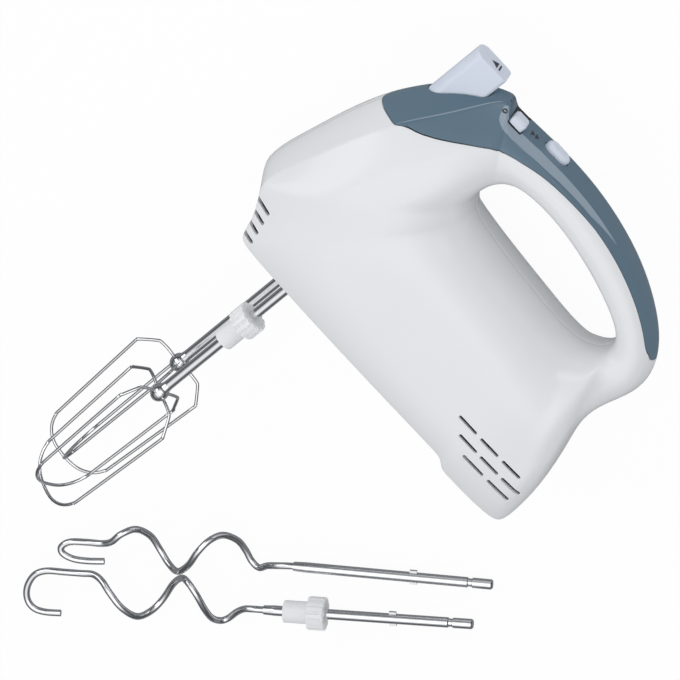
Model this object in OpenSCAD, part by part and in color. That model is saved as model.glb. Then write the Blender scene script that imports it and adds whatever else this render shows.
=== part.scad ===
// Hand mixer with two wire beaters and two loose dough hooks.
// The mixer lies on its right side: nose toward -X, handle toward +Y, left side up (+Z).
// Every size is in millimetres.

/* [Body] */
// Half of the body's width at its widest place
half_width = 46; // [45:0.5:48]
// Wall thickness of the shells
wall = 2.4; // [2:0.1:2.8]
// Gap between a button and the edge of its opening
button_gap = 0.5; // [0.4:0.05:0.7]

/* [Drive] */
// Distance between the two beater axes
beater_spacing = 42; // [40:0.5:42]
// Diameter of the beater and hook shafts
shaft_d = 5.7; // [5.4:0.1:5.9]
// Radial clearance of a shaft in its spindle
shaft_fit = 0.07; // [0.03:0.01:0.1]
// Outer diameter of the hollow spindles
spindle_d = 9; // [8.6:0.1:9.4]
// Outer diameter of the worm
worm_d = 10; // [9:0.5:11]
// Gap left between the worm and the gear tips
worm_gap = 0.35; // [0.3:0.05:0.6]
// Diameter of the motor shaft
motor_shaft_d = 6; // [5:0.5:6]
// Diameter of the armature
armature_d = 32; // [30:0.5:33]

/* [Beaters and hooks] */
// Largest radius of the beater loops at the wire's centre
loop_radius = 24; // [22:0.5:24]
// Height of the beater loops below the hub
loop_height = 90.5; // [84.5:1:90.5]
// Diameter of the beater wire
wire_d = 1.8; // [1.6:0.1:2]
// Diameter of the hook wire
hook_wire_d = 3.8; // [3.4:0.2:4]
// Diameter of the toothed collar flange
collar_d = 18.6; // [17:0.2:19]
// How far behind the front of the foot the collar hook's shaft ends
hook_reach = 254.4; // [252.4:0.5:258.4]
// How far below the mixer's foot that end lies
hook_drop = 94.2; // [92.2:0.5:98.2]

/* [Controls] */
// Travel of the eject button
eject_travel = 6; // [4:0.5:6]
// Travel of the speed slider from 0 to 5
slider_travel = 13; // [11:0.5:13]
// Travel of the turbo button
turbo_travel = 2; // [1:0.5:2]

/* [Hidden] */
$fn = 48;
spindle_x = 37.5;
spindle_z = beater_spacing / 2;
axis_y = 44;
shaft_r = shaft_d / 2;
bore_r = shaft_r + shaft_fit;
spindle_r = spindle_d / 2;
gear_r = spindle_z - worm_d / 2 - worm_gap;
shaft_top = 50;
hub_y = -108.5;
slider_zero = slider_travel / 2;
split = 0.05;
bush_r = 6.4;
inlet_r = 5.9;
slider_x = 49.2;
turbo_x = 76.5;
deck_y = 151.2;
// Where the housing screws stand
BOSSES = [[6, 26], [64, 84], [166, 12], [188, 66], [183, 113]];
white = [0.90, 0.91, 0.92];
blue = [0.38, 0.49, 0.56];
pale = [0.78, 0.82, 0.89];
chrome = [0.75, 0.76, 0.78];
dark = [0.2, 0.2, 0.22];
brass = [0.78, 0.62, 0.3];
copper = [0.72, 0.4, 0.2];

// Node to build

// One row per section around the handle loop, starting under the nose and going rearward:
// outer x, y; opening x, y; half width of the flat outer face; how far its edge lies back;
// greatest half width less half_width; where the side begins and ends; fullness of the flare;
// width of the bevel along the edge.
SECTIONS = [
  [-2.5, -4, 71, 97, 34, 0.8, -2, 0.42, 0.60, 0.5, 1.6],
  [6, -4.5, 73, 95.5, 36, 0.6, -1.5, 0.38, 0.60, 0.5, 1.6],
  [35, -3.6, 80, 93.5, 39, 0.4, 0, 0.30, 0.62, 0.45, 1.6],
  [80, -2.9, 96, 91, 41, 0.4, 0, 0.24, 0.62, 0.4, 1.6],
  [125, -2.4, 118, 89, 41, 0.4, 0, 0.22, 0.62, 0.4, 1.6],
  [152, -2.2, 134, 88, 40.5, 0.4, 0, 0.22, 0.60, 0.4, 1.6],
  [160, -2.2, 140, 87.5, 40.5, 0.4, 0, 0.22, 0.60, 0.4, 1.6],
  [163.5, -6.8, 145, 87.5, 40, 0.4, 0, 0.24, 0.60, 0.4, 1.6],
  [170, -7, 150, 87.5, 39.5, 0.4, 0, 0.26, 0.58, 0.4, 1.6],
  [190, -7.6, 156, 88, 38, 0.6, -0.5, 0.30, 0.56, 0.4, 1.6],
  [204, -8, 161, 88.8, 35, 1.5, -1.5, 0.32, 0.54, 0.4, 1.6],
  [209.5, -8, 165, 90, 32, 3, -2, 0.33, 0.52, 0.4, 1.6],
  [210.5, 1, 168.5, 92, 30, 4, -2.5, 0.35, 0.50, 0.4, 1.6],
  [209.5, 20, 171.5, 94.2, 26, 4.5, -6, 0.38, 0.48, 0.4, 1.6],
  [203, 41, 174, 97.5, 20, 4.5, -13, 0.42, 0.50, 0.4, 1.6],
  [196, 60, 175, 100.5, 15, 4, -21, 0.45, 0.52, 0.4, 1.6],
  [198.5, 75.5, 175, 103.5, 12, 3.5, -26, 0.45, 0.52, 0.4, 1.6],
  [204, 91.5, 174, 106.5, 10.5, 3, -27.8, 0.45, 0.55, 0.35, 1.6],
  [202.5, 106, 171.5, 109.5, 10, 3, -28.2, 0.45, 0.55, 0.35, 1.6],
  [194, 120, 167.5, 112.5, 10, 2.5, -28, 0.45, 0.55, 0.35, 1.6],
  [179.5, 131, 160.5, 116, 10, 2, -27.7, 0.45, 0.55, 0.35, 1.6],
  [159.5, 141, 148, 120.5, 11, 1.5, -27.3, 0.45, 0.55, 0.4, 1.6],
  [134.5, 149, 130, 125.5, 12, 1, -26.8, 0.45, 0.55, 0.6, 3],
  [105, 153.7, 108, 129.3, 13, 0.6, -26.4, 0.45, 0.55, 0.72, 5],
  [78, 153.7, 90, 129.3, 13.5, 0.5, -26.2, 0.45, 0.55, 0.75, 6],
  [58, 151.7, 79, 127.5, 13.8, 0.4, -25.6, 0.45, 0.55, 0.75, 6],
  [47, 151, 73.5, 124.5, 14, 0.4, -24.6, 0.48, 0.55, 0.72, 6],
  [43, 151, 70.5, 121.7, 12.5, 0.5, -24, 0.5, 0.57, 0.65, 4],
  [39.5, 155.5, 68.5, 119, 7, 0.9, -23.6, 0.58, 0.62, 0.6, 1.6],
  [34, 158.5, 67, 116.5, 6.8, 2.6, -22, 0.57, 0.62, 0.6, 1.6],
  [11.5, 141, 65.8, 113.5, 18.5, 13, -16, 0.55, 0.64, 0.6, 1.6],
  [-5.8, 107, 65.2, 111, 28.5, 9.8, -10, 0.52, 0.64, 0.6, 1.6],
  [-13.8, 79, 65, 109, 31, 9.8, -6.5, 0.50, 0.62, 0.58, 1.6],
  [-18, 54, 65, 107, 28.6, 9.6, -4, 0.48, 0.60, 0.55, 1.6],
  [-21.6, 34, 65.2, 105, 26.8, 9, -3, 0.46, 0.60, 0.55, 1.6],
  [-21.6, 22.5, 65.6, 103.5, 28.5, 6.3, -2.5, 0.46, 0.60, 0.55, 1.6],
  [-14.5, 18, 66.3, 102, 31, 3, -2.3, 0.45, 0.60, 0.55, 1.6],
  [-7.5, 11, 67.5, 100.5, 32.5, 1.2, -2.2, 0.44, 0.60, 0.52, 1.6],
  [-4, 3, 69, 99, 33.5, 0.9, -2, 0.43, 0.60, 0.5, 1.6]
];
N = len(SECTIONS);

// Where the edge of the blue cover lies on the section at t, 0 where there is no cover
COVER_EDGE = [
  [19.1, 0], [19.14, 0.14], [19.25, 0.26], [19.5, 0.325], [20, 0.355], [21, 0.35], [22, 0.328],
  [22.5, 0.318], [23, 0.325], [23.5, 0.336], [24, 0.353], [24.5, 0.38], [25, 0.408], [25.5, 0.42],
  [26, 0.428], [27, 0.44], [28, 0.446], [28.5, 0.45], [29, 0.445], [29.5, 0.432], [30, 0.402],
  [30.25, 0.383], [30.5, 0.364], [30.75, 0.328], [30.9, 0.28], [31.04, 0.19], [31.1, 0.1], [31.13, 0]
];
COVER_T = [19.14, 19.25, 19.5, 20, 20.5, 21, 21.5, 22, 22.5, 23, 23.5, 24, 24.5, 25, 25.5,
  26, 26.4, 26.8, 27.2, 27.6, 28, 28.4, 28.8, 29.2, 29.6, 30, 30.4, 30.7, 30.9, 31.04, 31.1];
SHELL_T = concat(
  [0, 0.5, 1, 2, 3, 4, 5],
  [for (k = [5.5 : 0.5 : 19]) k],
  COVER_T,
  [31.2, 31.5, 32, 32.5, 33, 33.5, 34, 34.5, 35, 35.5, 36, 36.5, 37, 37.5, 38, 38.5]
);

function section(t) =
  let (k = floor(t), f = t - k, g = 1 - f)
  (SECTIONS[(k + N - 1) % N] * g * g * g
    + SECTIONS[k % N] * (3 * f * f * f - 6 * f * f + 4)
    + SECTIONS[(k + 1) % N] * (1 + 3 * f + 3 * f * f - 3 * f * f * f)
    + SECTIONS[(k + 2) % N] * f * f * f) / 6;

// Point of the body's skin: t runs around the loop, u from the outer middle to the opening,
// inset moves it into the wall
function skin(t, u, inset = 0) =
  let (
    s = section(t),
    o = [s[0], s[1]],
    i = [s[2], s[3]],
    l = norm(i - o),
    d = (i - o) / l,
    face = s[4] - inset * 0.7,
    back = s[5],
    w = half_width + s[6] - inset,
    q1 = s[7] * l,
    q2 = s[8] * l,
    q3 = l - inset,
    b = s[10],
    r = b * 0.6,
    flat = max(0, min(1, (b - 1.6) / 2)),
    edge = [back + inset, face],
    pull = [back + inset + s[9] * (q1 - back - inset), w],
    side = pull - edge,
    p1 = edge - [2 * back * r / face, r],
    p3 = edge + side / norm(side) * b,
    bend = edge * (1 - flat) + (p1 + p3) / 2 * flat,
    qz = u < 0.2
      ? let (f = u / 0.2 * (face - r) / face) [inset + back * f * f, face * f]
      : u < 0.3
      ? let (f = (u - 0.2) * 10) p1 * (1 - f) * (1 - f) + bend * 2 * f * (1 - f) + p3 * f * f
      : u < 0.5
      ? let (f = (u - 0.3) * 5) p3 * (1 - f) * (1 - f) + pull * 2 * f * (1 - f) + [q1, w] * f * f
      : u < 0.58
      ? [q1 + (q2 - q1) * (u - 0.5) / 0.08, w]
      : let (a = min(90, (u - 0.58) / 0.42 * 90))
        [q2 + (q3 - q2) * pow(sin(a), 0.9), w * pow(max(0, cos(a)), 0.9)]
  )
  [o[0] + d[0] * qz[0], o[1] + d[1] * qz[0], qz[1]];

OUTER_U = [0, 0.1, 0.2, 0.25, 0.3, 0.37, 0.44, 0.5, 0.58, 0.65, 0.72, 0.79, 0.85, 0.91, 0.96, 1];
INNER_U = [1, 0.9, 0.78, 0.65, 0.5, 0.38, 0.28, 0];

// Quads of a tube of n rings with m points each, closed on itself
function torus_faces(n, m) = [
  for (i = [0 : n - 1], j = [0 : m - 1])
    [i * m + j, i * m + (j + 1) % m, ((i + 1) % n) * m + (j + 1) % m, ((i + 1) % n) * m + j]
];

// Quads of an open tube with flat strips closing its two ends
function tube_faces(n, m) = concat(
  [for (i = [0 : n - 2], j = [0 : m - 1])
    [i * m + j, i * m + (j + 1) % m, (i + 1) * m + (j + 1) % m, (i + 1) * m + j]],
  [for (j = [0 : m / 2 - 2]) [j + 1, j, m - 1 - j, m - 2 - j]],
  [for (j = [0 : m / 2 - 2])
    [(n - 1) * m + j, (n - 1) * m + j + 1, n * m - 2 - j, n * m - 1 - j]]
);

function reversed(faces) = [for (f = faces) [for (k = [len(f) - 1 : -1 : 0]) f[k]]];

function edge_u(t) = t < 19.1 || t > 31.13 ? 0 : lookup(t, COVER_EDGE);

// Half of the white shell, from the cover's edge or the parting plane to the opening
module half_shell(sign) {
  rings = [
    for (t = SHELL_T)
      let (u0 = edge_u(t))
      concat(
        [for (u = OUTER_U) let (p = skin(t, u0 + (1 - u0) * u)) [p[0], p[1], sign * max(p[2], split)]],
        [for (u = INNER_U)
          let (p = skin(t, u0 + (1 - u0) * u, wall)) [p[0], p[1], sign * max(p[2], split)]]
      )
  ];
  faces = torus_faces(len(SHELL_T), len(OUTER_U) + len(INNER_U));
  polyhedron([for (r = rings, p = r) p], sign > 0 ? faces : reversed(faces), convexity = 8);
}

// Half of the body without its hollow, drawn in by inset: it trims the screw bosses
module half_solid(sign, inset) {
  rings = [
    for (t = SHELL_T)
      [for (u = OUTER_U) let (p = skin(t, u, inset)) [p[0], p[1], sign * max(p[2], split)]]
  ];
  faces = torus_faces(len(SHELL_T), len(OUTER_U));
  polyhedron([for (r = rings, p = r) p], sign > 0 ? faces : reversed(faces), convexity = 8);
}

// A slot through the left wall from x0 to x1 at height y, its ends round
module side_slot(x0, x1, y) {
  hull() {
    translate([x0 + 0.9, y, 26]) cylinder(h = half_width - 22, r = 0.9, $fn = 16);
    translate([x1 - 0.9, y, 26]) cylinder(h = half_width - 22, r = 0.9, $fn = 16);
  }
}

// A slot round the corner of the nose at height y
module nose_slot(x1, y) {
  hull() {
    translate([-30, y - 1.2, 25]) cube([2, 2.4, half_width - 21]);
    translate([x1 - 2, y - 1.2, 27]) cube([2, 2.4, half_width - 23]);
  }
}

// What is cut from the left half, and mirrored from the right one
module side_cuts() {
  for (k = [0 : 2]) {
    side_slot(147 + k * 17, 160.5 + k * 17, 26.4);
    side_slot(155 + k * 16.5, 168.5 + k * 16.5, 18.8);
  }
  side_slot(165, 180.5, 11.8);
  side_slot(184, 200, 11.8);
  for (k = [0 : 3]) nose_slot(-1.5 + k * 2, 19.5 - k * 6.1);
  translate([spindle_x, -12, spindle_z]) rotate([-90, 0, 0]) cylinder(h = 20, r = bush_r + 0.35);
  translate([200, 12, 0]) rotate([0, 90, 0]) cylinder(h = 20, r = inlet_r + 0.35);
}

module bosses(r) {
  for (p = BOSSES) translate([p[0], p[1], split]) cylinder(h = 60, r = r, $fn = 24);
}

module left_housing() {
  color(white) difference() {
    union() {
      half_shell(1);
      intersection() {
        half_solid(1, wall / 2);
        bosses(4);
      }
    }
    side_cuts();
    for (p = BOSSES) translate([p[0], p[1], 0]) cylinder(h = 10, r = 1.65, $fn = 24);
  }
}

module right_housing() {
  color(white) difference() {
    union() {
      half_shell(-1);
      mirror([0, 0, 1]) intersection() {
        half_solid(1, wall / 2);
        bosses(4.6);
      }
    }
    mirror([0, 0, 1]) side_cuts();
    for (p = BOSSES) translate([p[0], p[1], 0]) mirror([0, 0, 1]) {
      cylinder(h = 60, r = 1.85, $fn = 24);
      translate([0, 0, 8]) cylinder(h = 60, r = 3.3, $fn = 24);
    }
  }
}

// Screws driven into the left half from deep counterbores in the right one
module housing_screws() {
  color(chrome) for (p = BOSSES) translate([p[0], p[1], 0]) {
    translate([0, 0, -7.6]) cylinder(h = 16, r = 1.5, $fn = 24);
    difference() {
      translate([0, 0, -10]) cylinder(h = 1.95, r = 2.9, $fn = 24);
      translate([-0.4, -2, -10.5]) cube([0.8, 4, 1.3]);
      translate([-2, -0.4, -10.5]) cube([4, 0.8, 1.3]);
    }
    translate([0, 0, -8.1]) cylinder(h = 0.6, r = 1.5, $fn = 24);
  }
}

// The blue cover's skin, its edge drawn in by a narrow gap
module cover_skin() {
  us = [-1, -0.9, -0.78, -0.68, -0.6, -0.5, -0.3, -0.15, 0, 0.15, 0.3, 0.5, 0.6, 0.68, 0.78, 0.9, 1];
  last = len(COVER_T) - 1;
  rings = [
    for (k = [0 : last])
      let (
        t = k == 0 ? COVER_T[0] + 0.02 : k == last ? COVER_T[last] - 0.015 : COVER_T[k],
        e = edge_u(COVER_T[k]) - 0.008
      )
      concat(
        [for (u = us) let (p = skin(t, abs(u) * e)) [p[0], p[1], u < 0 ? -p[2] : p[2]]],
        [for (j = [len(us) - 1 : -1 : 0])
          let (u = us[j], p = skin(t, abs(u) * e, wall)) [p[0], p[1], u < 0 ? -p[2] : p[2]]]
      )
  ];
  polyhedron([for (r = rings, p = r) p], tube_faces(last + 1, 2 * len(us)), convexity = 8);
}

// Plan of the eject button: a round front and a slightly narrower square rear
module eject_plan(grow) {
  translate([12, 0]) circle(r = 7.7 + grow);
  for (z = [-5.1, 5.1]) translate([25.5, z]) circle(r = 2.5 + grow);
}

// Stands a plan drawn in x and z on the level y
module stand(y, h) {
  translate([0, y + h, 0]) rotate([90, 0, 0]) linear_extrude(height = h) children();
}

module turbo_plan(grow) {
  for (x = [-3.2, 3.2]) translate([turbo_x + x, 0]) circle(r = 4.8 + grow);
}

module snap(x, y, z) {
  hull() {
    translate([x - 3, y, z - 0.8]) cube([6, 5, 1.6]);
    translate([x - 3, y - 3, z - 0.4]) cube([6, 1, 0.8]);
  }
}

module top_cover() {
  color(blue) difference() {
    union() {
      cover_skin();
      for (z = [-7, 7]) {
        snap(60, 146, z);
        snap(98, 147, z);
        snap(122, 145, z);
      }
    }
    hull() stand(100, 62) eject_plan(button_gap);
    hull() stand(144, 16) for (z = [-1, 1]) {
      translate([slider_x, z * (slider_zero + 1.4)]) circle(r = 1.9, $fn = 20);
    }
    hull() stand(146, 12) turbo_plan(button_gap);
  }
}

// Hollow cap, open below, its upper edge rounded
module eject_button() {
  color(pale) difference() {
    hull() {
      stand(100, 60.7) hull() eject_plan(0);
      stand(100, 62.2) hull() eject_plan(-0.6);
      stand(100, 63) hull() eject_plan(-2);
    }
    stand(99, 59.4) hull() eject_plan(-2.2);
  }
}

// Column under the button, crossbar and two pins that stand in the tops of the spindles
module eject_pusher() {
  color(white) {
    translate([12, 80, -4]) cube([8, 78.35, 8]);
    translate([12, 80, -3]) cube([spindle_x - 12, 5, 6]);
    translate([spindle_x - 3, 80, -spindle_z - 3]) cube([6, 5, 2 * spindle_z + 6]);
    for (z = [-spindle_z, spindle_z]) translate([spindle_x, shaft_top + eject_travel + 0.6, z])
      rotate([-90, 0, 0]) cylinder(h = 30 - eject_travel, r = shaft_r - 0.4);
  }
}

module eject_spring() {
  color(chrome) coil([spindle_x, 64.6, 0], 4, 0.45, 14.8, 5);
}

// A spring of the given radius, wire radius and height standing at p along +Y
module coil(p, r, wire, h, turns) {
  path = [
    for (k = [0 : turns * 9])
      [p[0] + r * cos(k * 40), p[1] + wire + (h - 2 * wire) * k / (turns * 9), p[2] + r * sin(k * 40)]
  ];
  sweep(path, wire, 5, [0, 1, 0]);
}

function unit(v) = v / norm(v);

function tangent(path, k) =
  unit(path[min(k + 1, len(path) - 1)] - path[max(k - 1, 0)]);

function square_to(a, t) = unit(a - (a * t) * t);

// Round wire swept along a path, its section carried along without twisting
module sweep(path, r, sides, ref) {
  n = len(path);
  across = [
    for (k = 0, a = square_to(ref, tangent(path, 0)); k < n;
      k = k + 1, a = square_to(a, tangent(path, min(k, n - 1)))) a
  ];
  points = [
    for (k = [0 : n - 1])
      let (b = cross(tangent(path, k), across[k]))
      for (j = [0 : sides - 1])
        path[k] + r * (across[k] * cos(j * 360 / sides) + b * sin(j * 360 / sides))
  ];
  faces = concat(
    [for (k = [0 : n - 2], j = [0 : sides - 1])
      [k * sides + j, (k + 1) * sides + j, k * sides + (j + 1) % sides]],
    [for (k = [0 : n - 2], j = [0 : sides - 1])
      [k * sides + (j + 1) % sides, (k + 1) * sides + j, (k + 1) * sides + (j + 1) % sides]],
    [for (j = [1 : sides - 2]) [0, j, j + 1]],
    [for (j = [1 : sides - 2]) [(n - 1) * sides, (n - 1) * sides + j + 1, (n - 1) * sides + j]]
  );
  polyhedron(points, faces, convexity = 6);
}

module speed_slider() {
  color(pale) {
    hull() stand(deck_y + 0.6, 3.4) offset(r = 1.5) square_at(slider_x, slider_zero, 6.2);
    stand(deck_y + 3.9, 0.8) offset(r = 1) square_at(slider_x, slider_zero, 5.6);
    translate([slider_x - 1.5, 141.2, slider_zero - 1.5]) cube([3, deck_y - 140.4, 3]);
    translate([slider_x - 4, 146, slider_zero - 3]) cube([8, 2, 6]);
  }
}

module square_at(x, z, size) {
  translate([x - size / 2, z - size / 2]) square(size);
}

module speed_switch() {
  color(dark) difference() {
    translate([slider_x - 7, 133, -13]) cube([14, 7.8, 26]);
    translate([slider_x - 2, 138, -11]) cube([4, 4, 22]);
  }
}

// Domed oval button with a flange under the cover
module turbo_button() {
  color(pale) {
    hull() {
      stand(149, 5.6) hull() turbo_plan(0);
      stand(149, 7) hull() turbo_plan(-1.2);
      stand(149, 7.8) hull() turbo_plan(-3);
    }
    stand(147.4, 1.6) hull() turbo_plan(1.6);
    translate([turbo_x, 143.6, 0]) rotate([-90, 0, 0]) cylinder(h = 4, r = 2.4);
  }
}

module turbo_spring() {
  color(chrome) coil([turbo_x, 139.7, 0], 3.4, 0.35, 7.5, 3);
}

module turbo_switch() {
  color(dark) difference() {
    translate([turbo_x - 7, 132.5, -6]) cube([14, 7, 12]);
    translate([turbo_x, 137, 0]) rotate([-90, 0, 0]) cylinder(h = 4, r = 2.6);
  }
}

module cord_bushing() {
  color(dark) translate([201.2, 12, 0]) rotate([0, 90, 0]) difference() {
    union() {
      cylinder(h = 8.2, r = inlet_r);
      cylinder(h = 2.4, r = inlet_r + 2.4);
    }
    translate([0, 0, -1]) cylinder(h = 11, r = 3.6);
  }
}

module terminal_block() {
  color(white) difference() {
    union() {
      translate([176, 12, -12]) cube([12, 12, 24]);
      translate([178, -4.3, -10]) cube([8, 17, 20]);
    }
    for (z = [-7, 0, 7]) {
      translate([182, 26, z]) rotate([90, 0, 0]) cylinder(h = 6, r = 2);
      translate([175, 16, z]) rotate([0, 90, 0]) cylinder(h = 14, r = 1.6);
    }
  }
}

module suppression_capacitor() {
  color([0.85, 0.75, 0.3]) translate([175, 24.1, -8]) cube([14, 12, 16]);
}

module motor_axis(x) {
  translate([x, axis_y, 0]) rotate([0, 90, 0]) children();
}

// Two plates joined by posts: they hold the spindles upright
module gear_frame() {
  color(white) difference() {
    union() {
      translate([16, 14, -35]) cube([41, 5, 70]);
      translate([16, 60, -35]) cube([41, 4, 70]);
      for (x = [20, 53], z = [-32.2, 32.2]) translate([x, 18.9, z]) rotate([-90, 0, 0])
        cylinder(h = 41.2, r = 3);
    }
    for (z = [-spindle_z, spindle_z]) translate([spindle_x, 10, z]) rotate([-90, 0, 0])
      cylinder(h = 60, r = spindle_r + 0.06);
  }
}

module bush(z) {
  color(white) translate([spindle_x, -3.2, z]) rotate([-90, 0, 0]) difference() {
    union() {
      cylinder(h = 9, r = bush_r);
      translate([0, 0, 3.6]) cylinder(h = 1.6, r = bush_r + 2.4);
    }
    translate([0, 0, -1]) cylinder(h = 11, r = spindle_r + 0.06);
  }
}

// Hollow spindle whose bore takes a beater or hook shaft
module spindle(z) {
  color(chrome) translate([spindle_x, -1.5, z]) rotate([-90, 0, 0]) difference() {
    cylinder(h = 67.5, r = spindle_r);
    translate([0, 0, -1]) cylinder(h = 70, r = bore_r);
  }
}

module gear(z, turn) {
  teeth = 24;
  color(white) translate([spindle_x, 20.8, z]) rotate([-90, turn, 0]) difference() {
    union() {
      cylinder(h = 20, r = 7.8);
      translate([0, 0, axis_y - 25.8]) linear_extrude(height = 10) union() {
        circle(r = gear_r - 2, $fn = 48);
        for (k = [0 : teeth - 1]) rotate(k * 360 / teeth)
          polygon([[gear_r - 2.5, -1.3], [gear_r, -0.7], [gear_r, 0.7], [gear_r - 2.5, 1.3]]);
      }
    }
    translate([0, 0, -1]) cylinder(h = 36, r = spindle_r + 0.02);
  }
}

module washer(z) {
  color(chrome) translate([spindle_x, 19.3, z]) rotate([-90, 0, 0]) difference() {
    cylinder(h = 1.2, r = 7.4);
    translate([0, 0, -1]) cylinder(h = 4, r = spindle_r + 0.3);
  }
}

// Single thread on a core, turned about the motor shaft
module worm() {
  color(brass) motor_axis(spindle_x - 8) difference() {
    linear_extrude(height = 16, twist = -360 * 3, slices = 27, $fn = 16) union() {
      circle(r = worm_d / 2 - 1.6, $fn = 18);
      translate([1.6, 0]) circle(r = worm_d / 2 - 1.6, $fn = 12);
    }
    translate([0, 0, -1]) cylinder(h = 20, r = motor_shaft_d / 2 + 0.02, $fn = 18);
  }
}

module motor_shaft() {
  color(chrome) motor_axis(22) {
    cylinder(h = 134, r = motor_shaft_d / 2);
  }
}

module ring(x, h, outer, inner) {
  motor_axis(x) difference() {
    cylinder(h = h, r = outer);
    translate([0, 0, -1]) cylinder(h = h + 2, r = inner);
  }
}

module armature_core() {
  color(dark) motor_axis(90) linear_extrude(height = 28) difference() {
    circle(r = armature_d / 2);
    circle(r = motor_shaft_d / 2 + 0.02);
    for (k = [0 : 11]) rotate(k * 30) translate([armature_d / 2 - 1.5, 0]) circle(r = 1.7, $fn = 16);
  }
}

// The coil ends that bulge out of the core on either side
module armature_winding() {
  color(copper) for (x = [85.2, 118.2]) motor_axis(x) rotate_extrude() hull() {
    translate([5.5, 2.3]) circle(r = 2.2, $fn = 16);
    translate([armature_d / 2 - 4.5, 2.3]) circle(r = 2.2, $fn = 16);
  }
}

module commutator() {
  color(copper) motor_axis(126) linear_extrude(height = 12) difference() {
    circle(r = 9);
    circle(r = motor_shaft_d / 2 + 0.02);
    for (k = [0 : 11]) rotate(k * 30 + 15) translate([8.2, -0.3]) square([2, 0.6]);
  }
}

module cooling_fan() {
  color(white) difference() {
    union() {
      ring(70, 10, 6, motor_shaft_d / 2 + 0.02);
      ring(70, 1.6, 22, 5);
      for (k = [0 : 8]) motor_axis(71) rotate(k * 40) translate([5.5, -0.7, 0]) cube([16, 1.4, 8.6]);
    }
    motor_axis(69) cylinder(h = 12, r = motor_shaft_d / 2 + 0.02);
  }
}

module bracket(x, h) {
  color(chrome) motor_axis(x) difference() {
    linear_extrude(height = h) difference() {
      offset(r = 3) square([40, 62], center = true);
      circle(r = 8.05);
      for (z = [-22, 22]) translate([0, z]) circle(r = 6);
      for (y = [-15, 15], z = [-31, 31]) translate([y, z]) circle(r = 1.8, $fn = 24);
    }
  }
}

module stator_core() {
  color([0.45, 0.46, 0.48]) motor_axis(91) linear_extrude(height = 26) difference() {
    offset(r = 4) square([40, 46], center = true);
    circle(r = armature_d / 2 + 0.5);
    for (s = [-1, 1], m = [-1, 1]) rotate(s * 52 + m * 90)
      translate([armature_d / 2 + 2.6, 0]) square([6, 6.6], center = true);
  }
}

// Saddle coil: two sides lie in the core's slots, two arches cross its ends
module field_coil(m) {
  inner = armature_d / 2 + 0.4;
  color(copper) motor_axis(84.5) {
    for (s = [-1, 1]) rotate(s * 52 + m * 90) translate([inner + 0.4, -2.9, 0])
      cube([4.2, 5.8, 39]);
    for (x = [0.4, 34]) translate([0, 0, x]) rotate(m * 90 - 52)
      rotate_extrude(angle = 104) translate([inner + 0.9, 0]) square([3.2, 4.6]);
  }
}

module brush_holders() {
  color(brass) for (m = [0, 180]) motor_axis(132) rotate([m, 0, 0]) translate([0, 10.6, 0]) difference() {
    translate([-4.5, 0, -4.5]) cube([9, 20, 9]);
    translate([-3.2, -1, -3.2]) cube([6.4, 20, 6.4]);
  }
}

module carbon_brushes() {
  color(dark) for (m = [0, 180]) motor_axis(132) rotate([m, 0, 0])
    translate([-3, 9.3, -3]) cube([6, 10, 6]);
}

module brush_springs() {
  color(chrome) for (m = [0, 180]) motor_axis(132) rotate([m, 0, 0]) coil([0, 19.6, 0], 2, 0.3, 8.6, 4);
}

// Long screws that clamp the two brackets over the stator
module motor_screws() {
  color(chrome) for (y = [-15, 15], z = [-31, 31]) motor_axis(58.8) translate([y, z, 0]) {
    cylinder(h = 93, r = 1.6, $fn = 24);
    translate([0, 0, 92.4]) cylinder(h = 2.2, r = 3, $fn = 24);
  }
}

// Shaft and hub of a beater, with the groove that the spindle's latch holds
module beater_shaft(z) {
  color(chrome) translate([spindle_x, 0, z]) rotate([-90, 0, 0]) rotate_extrude() polygon(concat(
    [[0, shaft_top], [shaft_r - 0.6, shaft_top], [shaft_r, shaft_top - 0.8],
      [shaft_r, shaft_top - 6], [shaft_r - 0.6, shaft_top - 6.6], [shaft_r - 0.6, shaft_top - 8.4],
      [shaft_r, shaft_top - 9], [shaft_r, hub_y + 7]],
    [for (a = [50 : -14 : -76]) [4.9 * cos(a), hub_y + 5.6 * sin(a)]],
    [[0, hub_y - 5.6]]
  ));
}

// Radius and depth along half of a loop, from the hub to the bottom
function loop_side(radius, bottom) = concat(
  [[3.6, 0], [9, 0.4], [14.5, 0], [16.6, -1.2], [radius - 1.4, -8], [radius, -10.5], [radius, -15]],
  [for (a = [0 : 15 : 75]) [(radius - 3) * pow(cos(a), 0.8), -bottom + 18 - 18 * sin(a)]]
);

// One closed loop of wire in the plane turned by angle about the beater's axis
module beater_loop(z, angle, radius, bottom) {
  half = loop_side(radius, bottom);
  flat = concat(
    half,
    [[0, -bottom]],
    [for (k = [len(half) - 1 : -1 : 0]) [-half[k][0], half[k][1]]]
  );
  path = [for (p = flat) [
    spindle_x + p[0] * cos(angle),
    hub_y + p[1],
    z + p[0] * sin(angle)
  ]];
  color(chrome) sweep(path, wire_d / 2, 8, [-sin(angle), 0, cos(angle)]);
}

// Toothed collar: flange toward the mixer, plain barrel below
module collar() {
  h_flange = 9.6;
  h_barrel = 13.8;
  difference() {
    union() {
      linear_extrude(height = h_flange) difference() {
        circle(r = collar_d / 2);
        for (k = [0 : 13]) rotate(k * 360 / 14)
          translate([collar_d / 2 + 0.2, 0]) circle(r = 1.25, $fn = 12);
      }
      translate([0, 0, -h_barrel]) cylinder(h = h_barrel + 0.1, r = 6.2);
    }
    translate([0, 0, -h_barrel - 1]) cylinder(h = h_flange + h_barrel + 2, r = shaft_r + 0.02);
  }
}

module left_beater_collar() {
  color(white) translate([spindle_x, -45.2, spindle_z]) rotate([-90, 0, 0]) collar();
}

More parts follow.
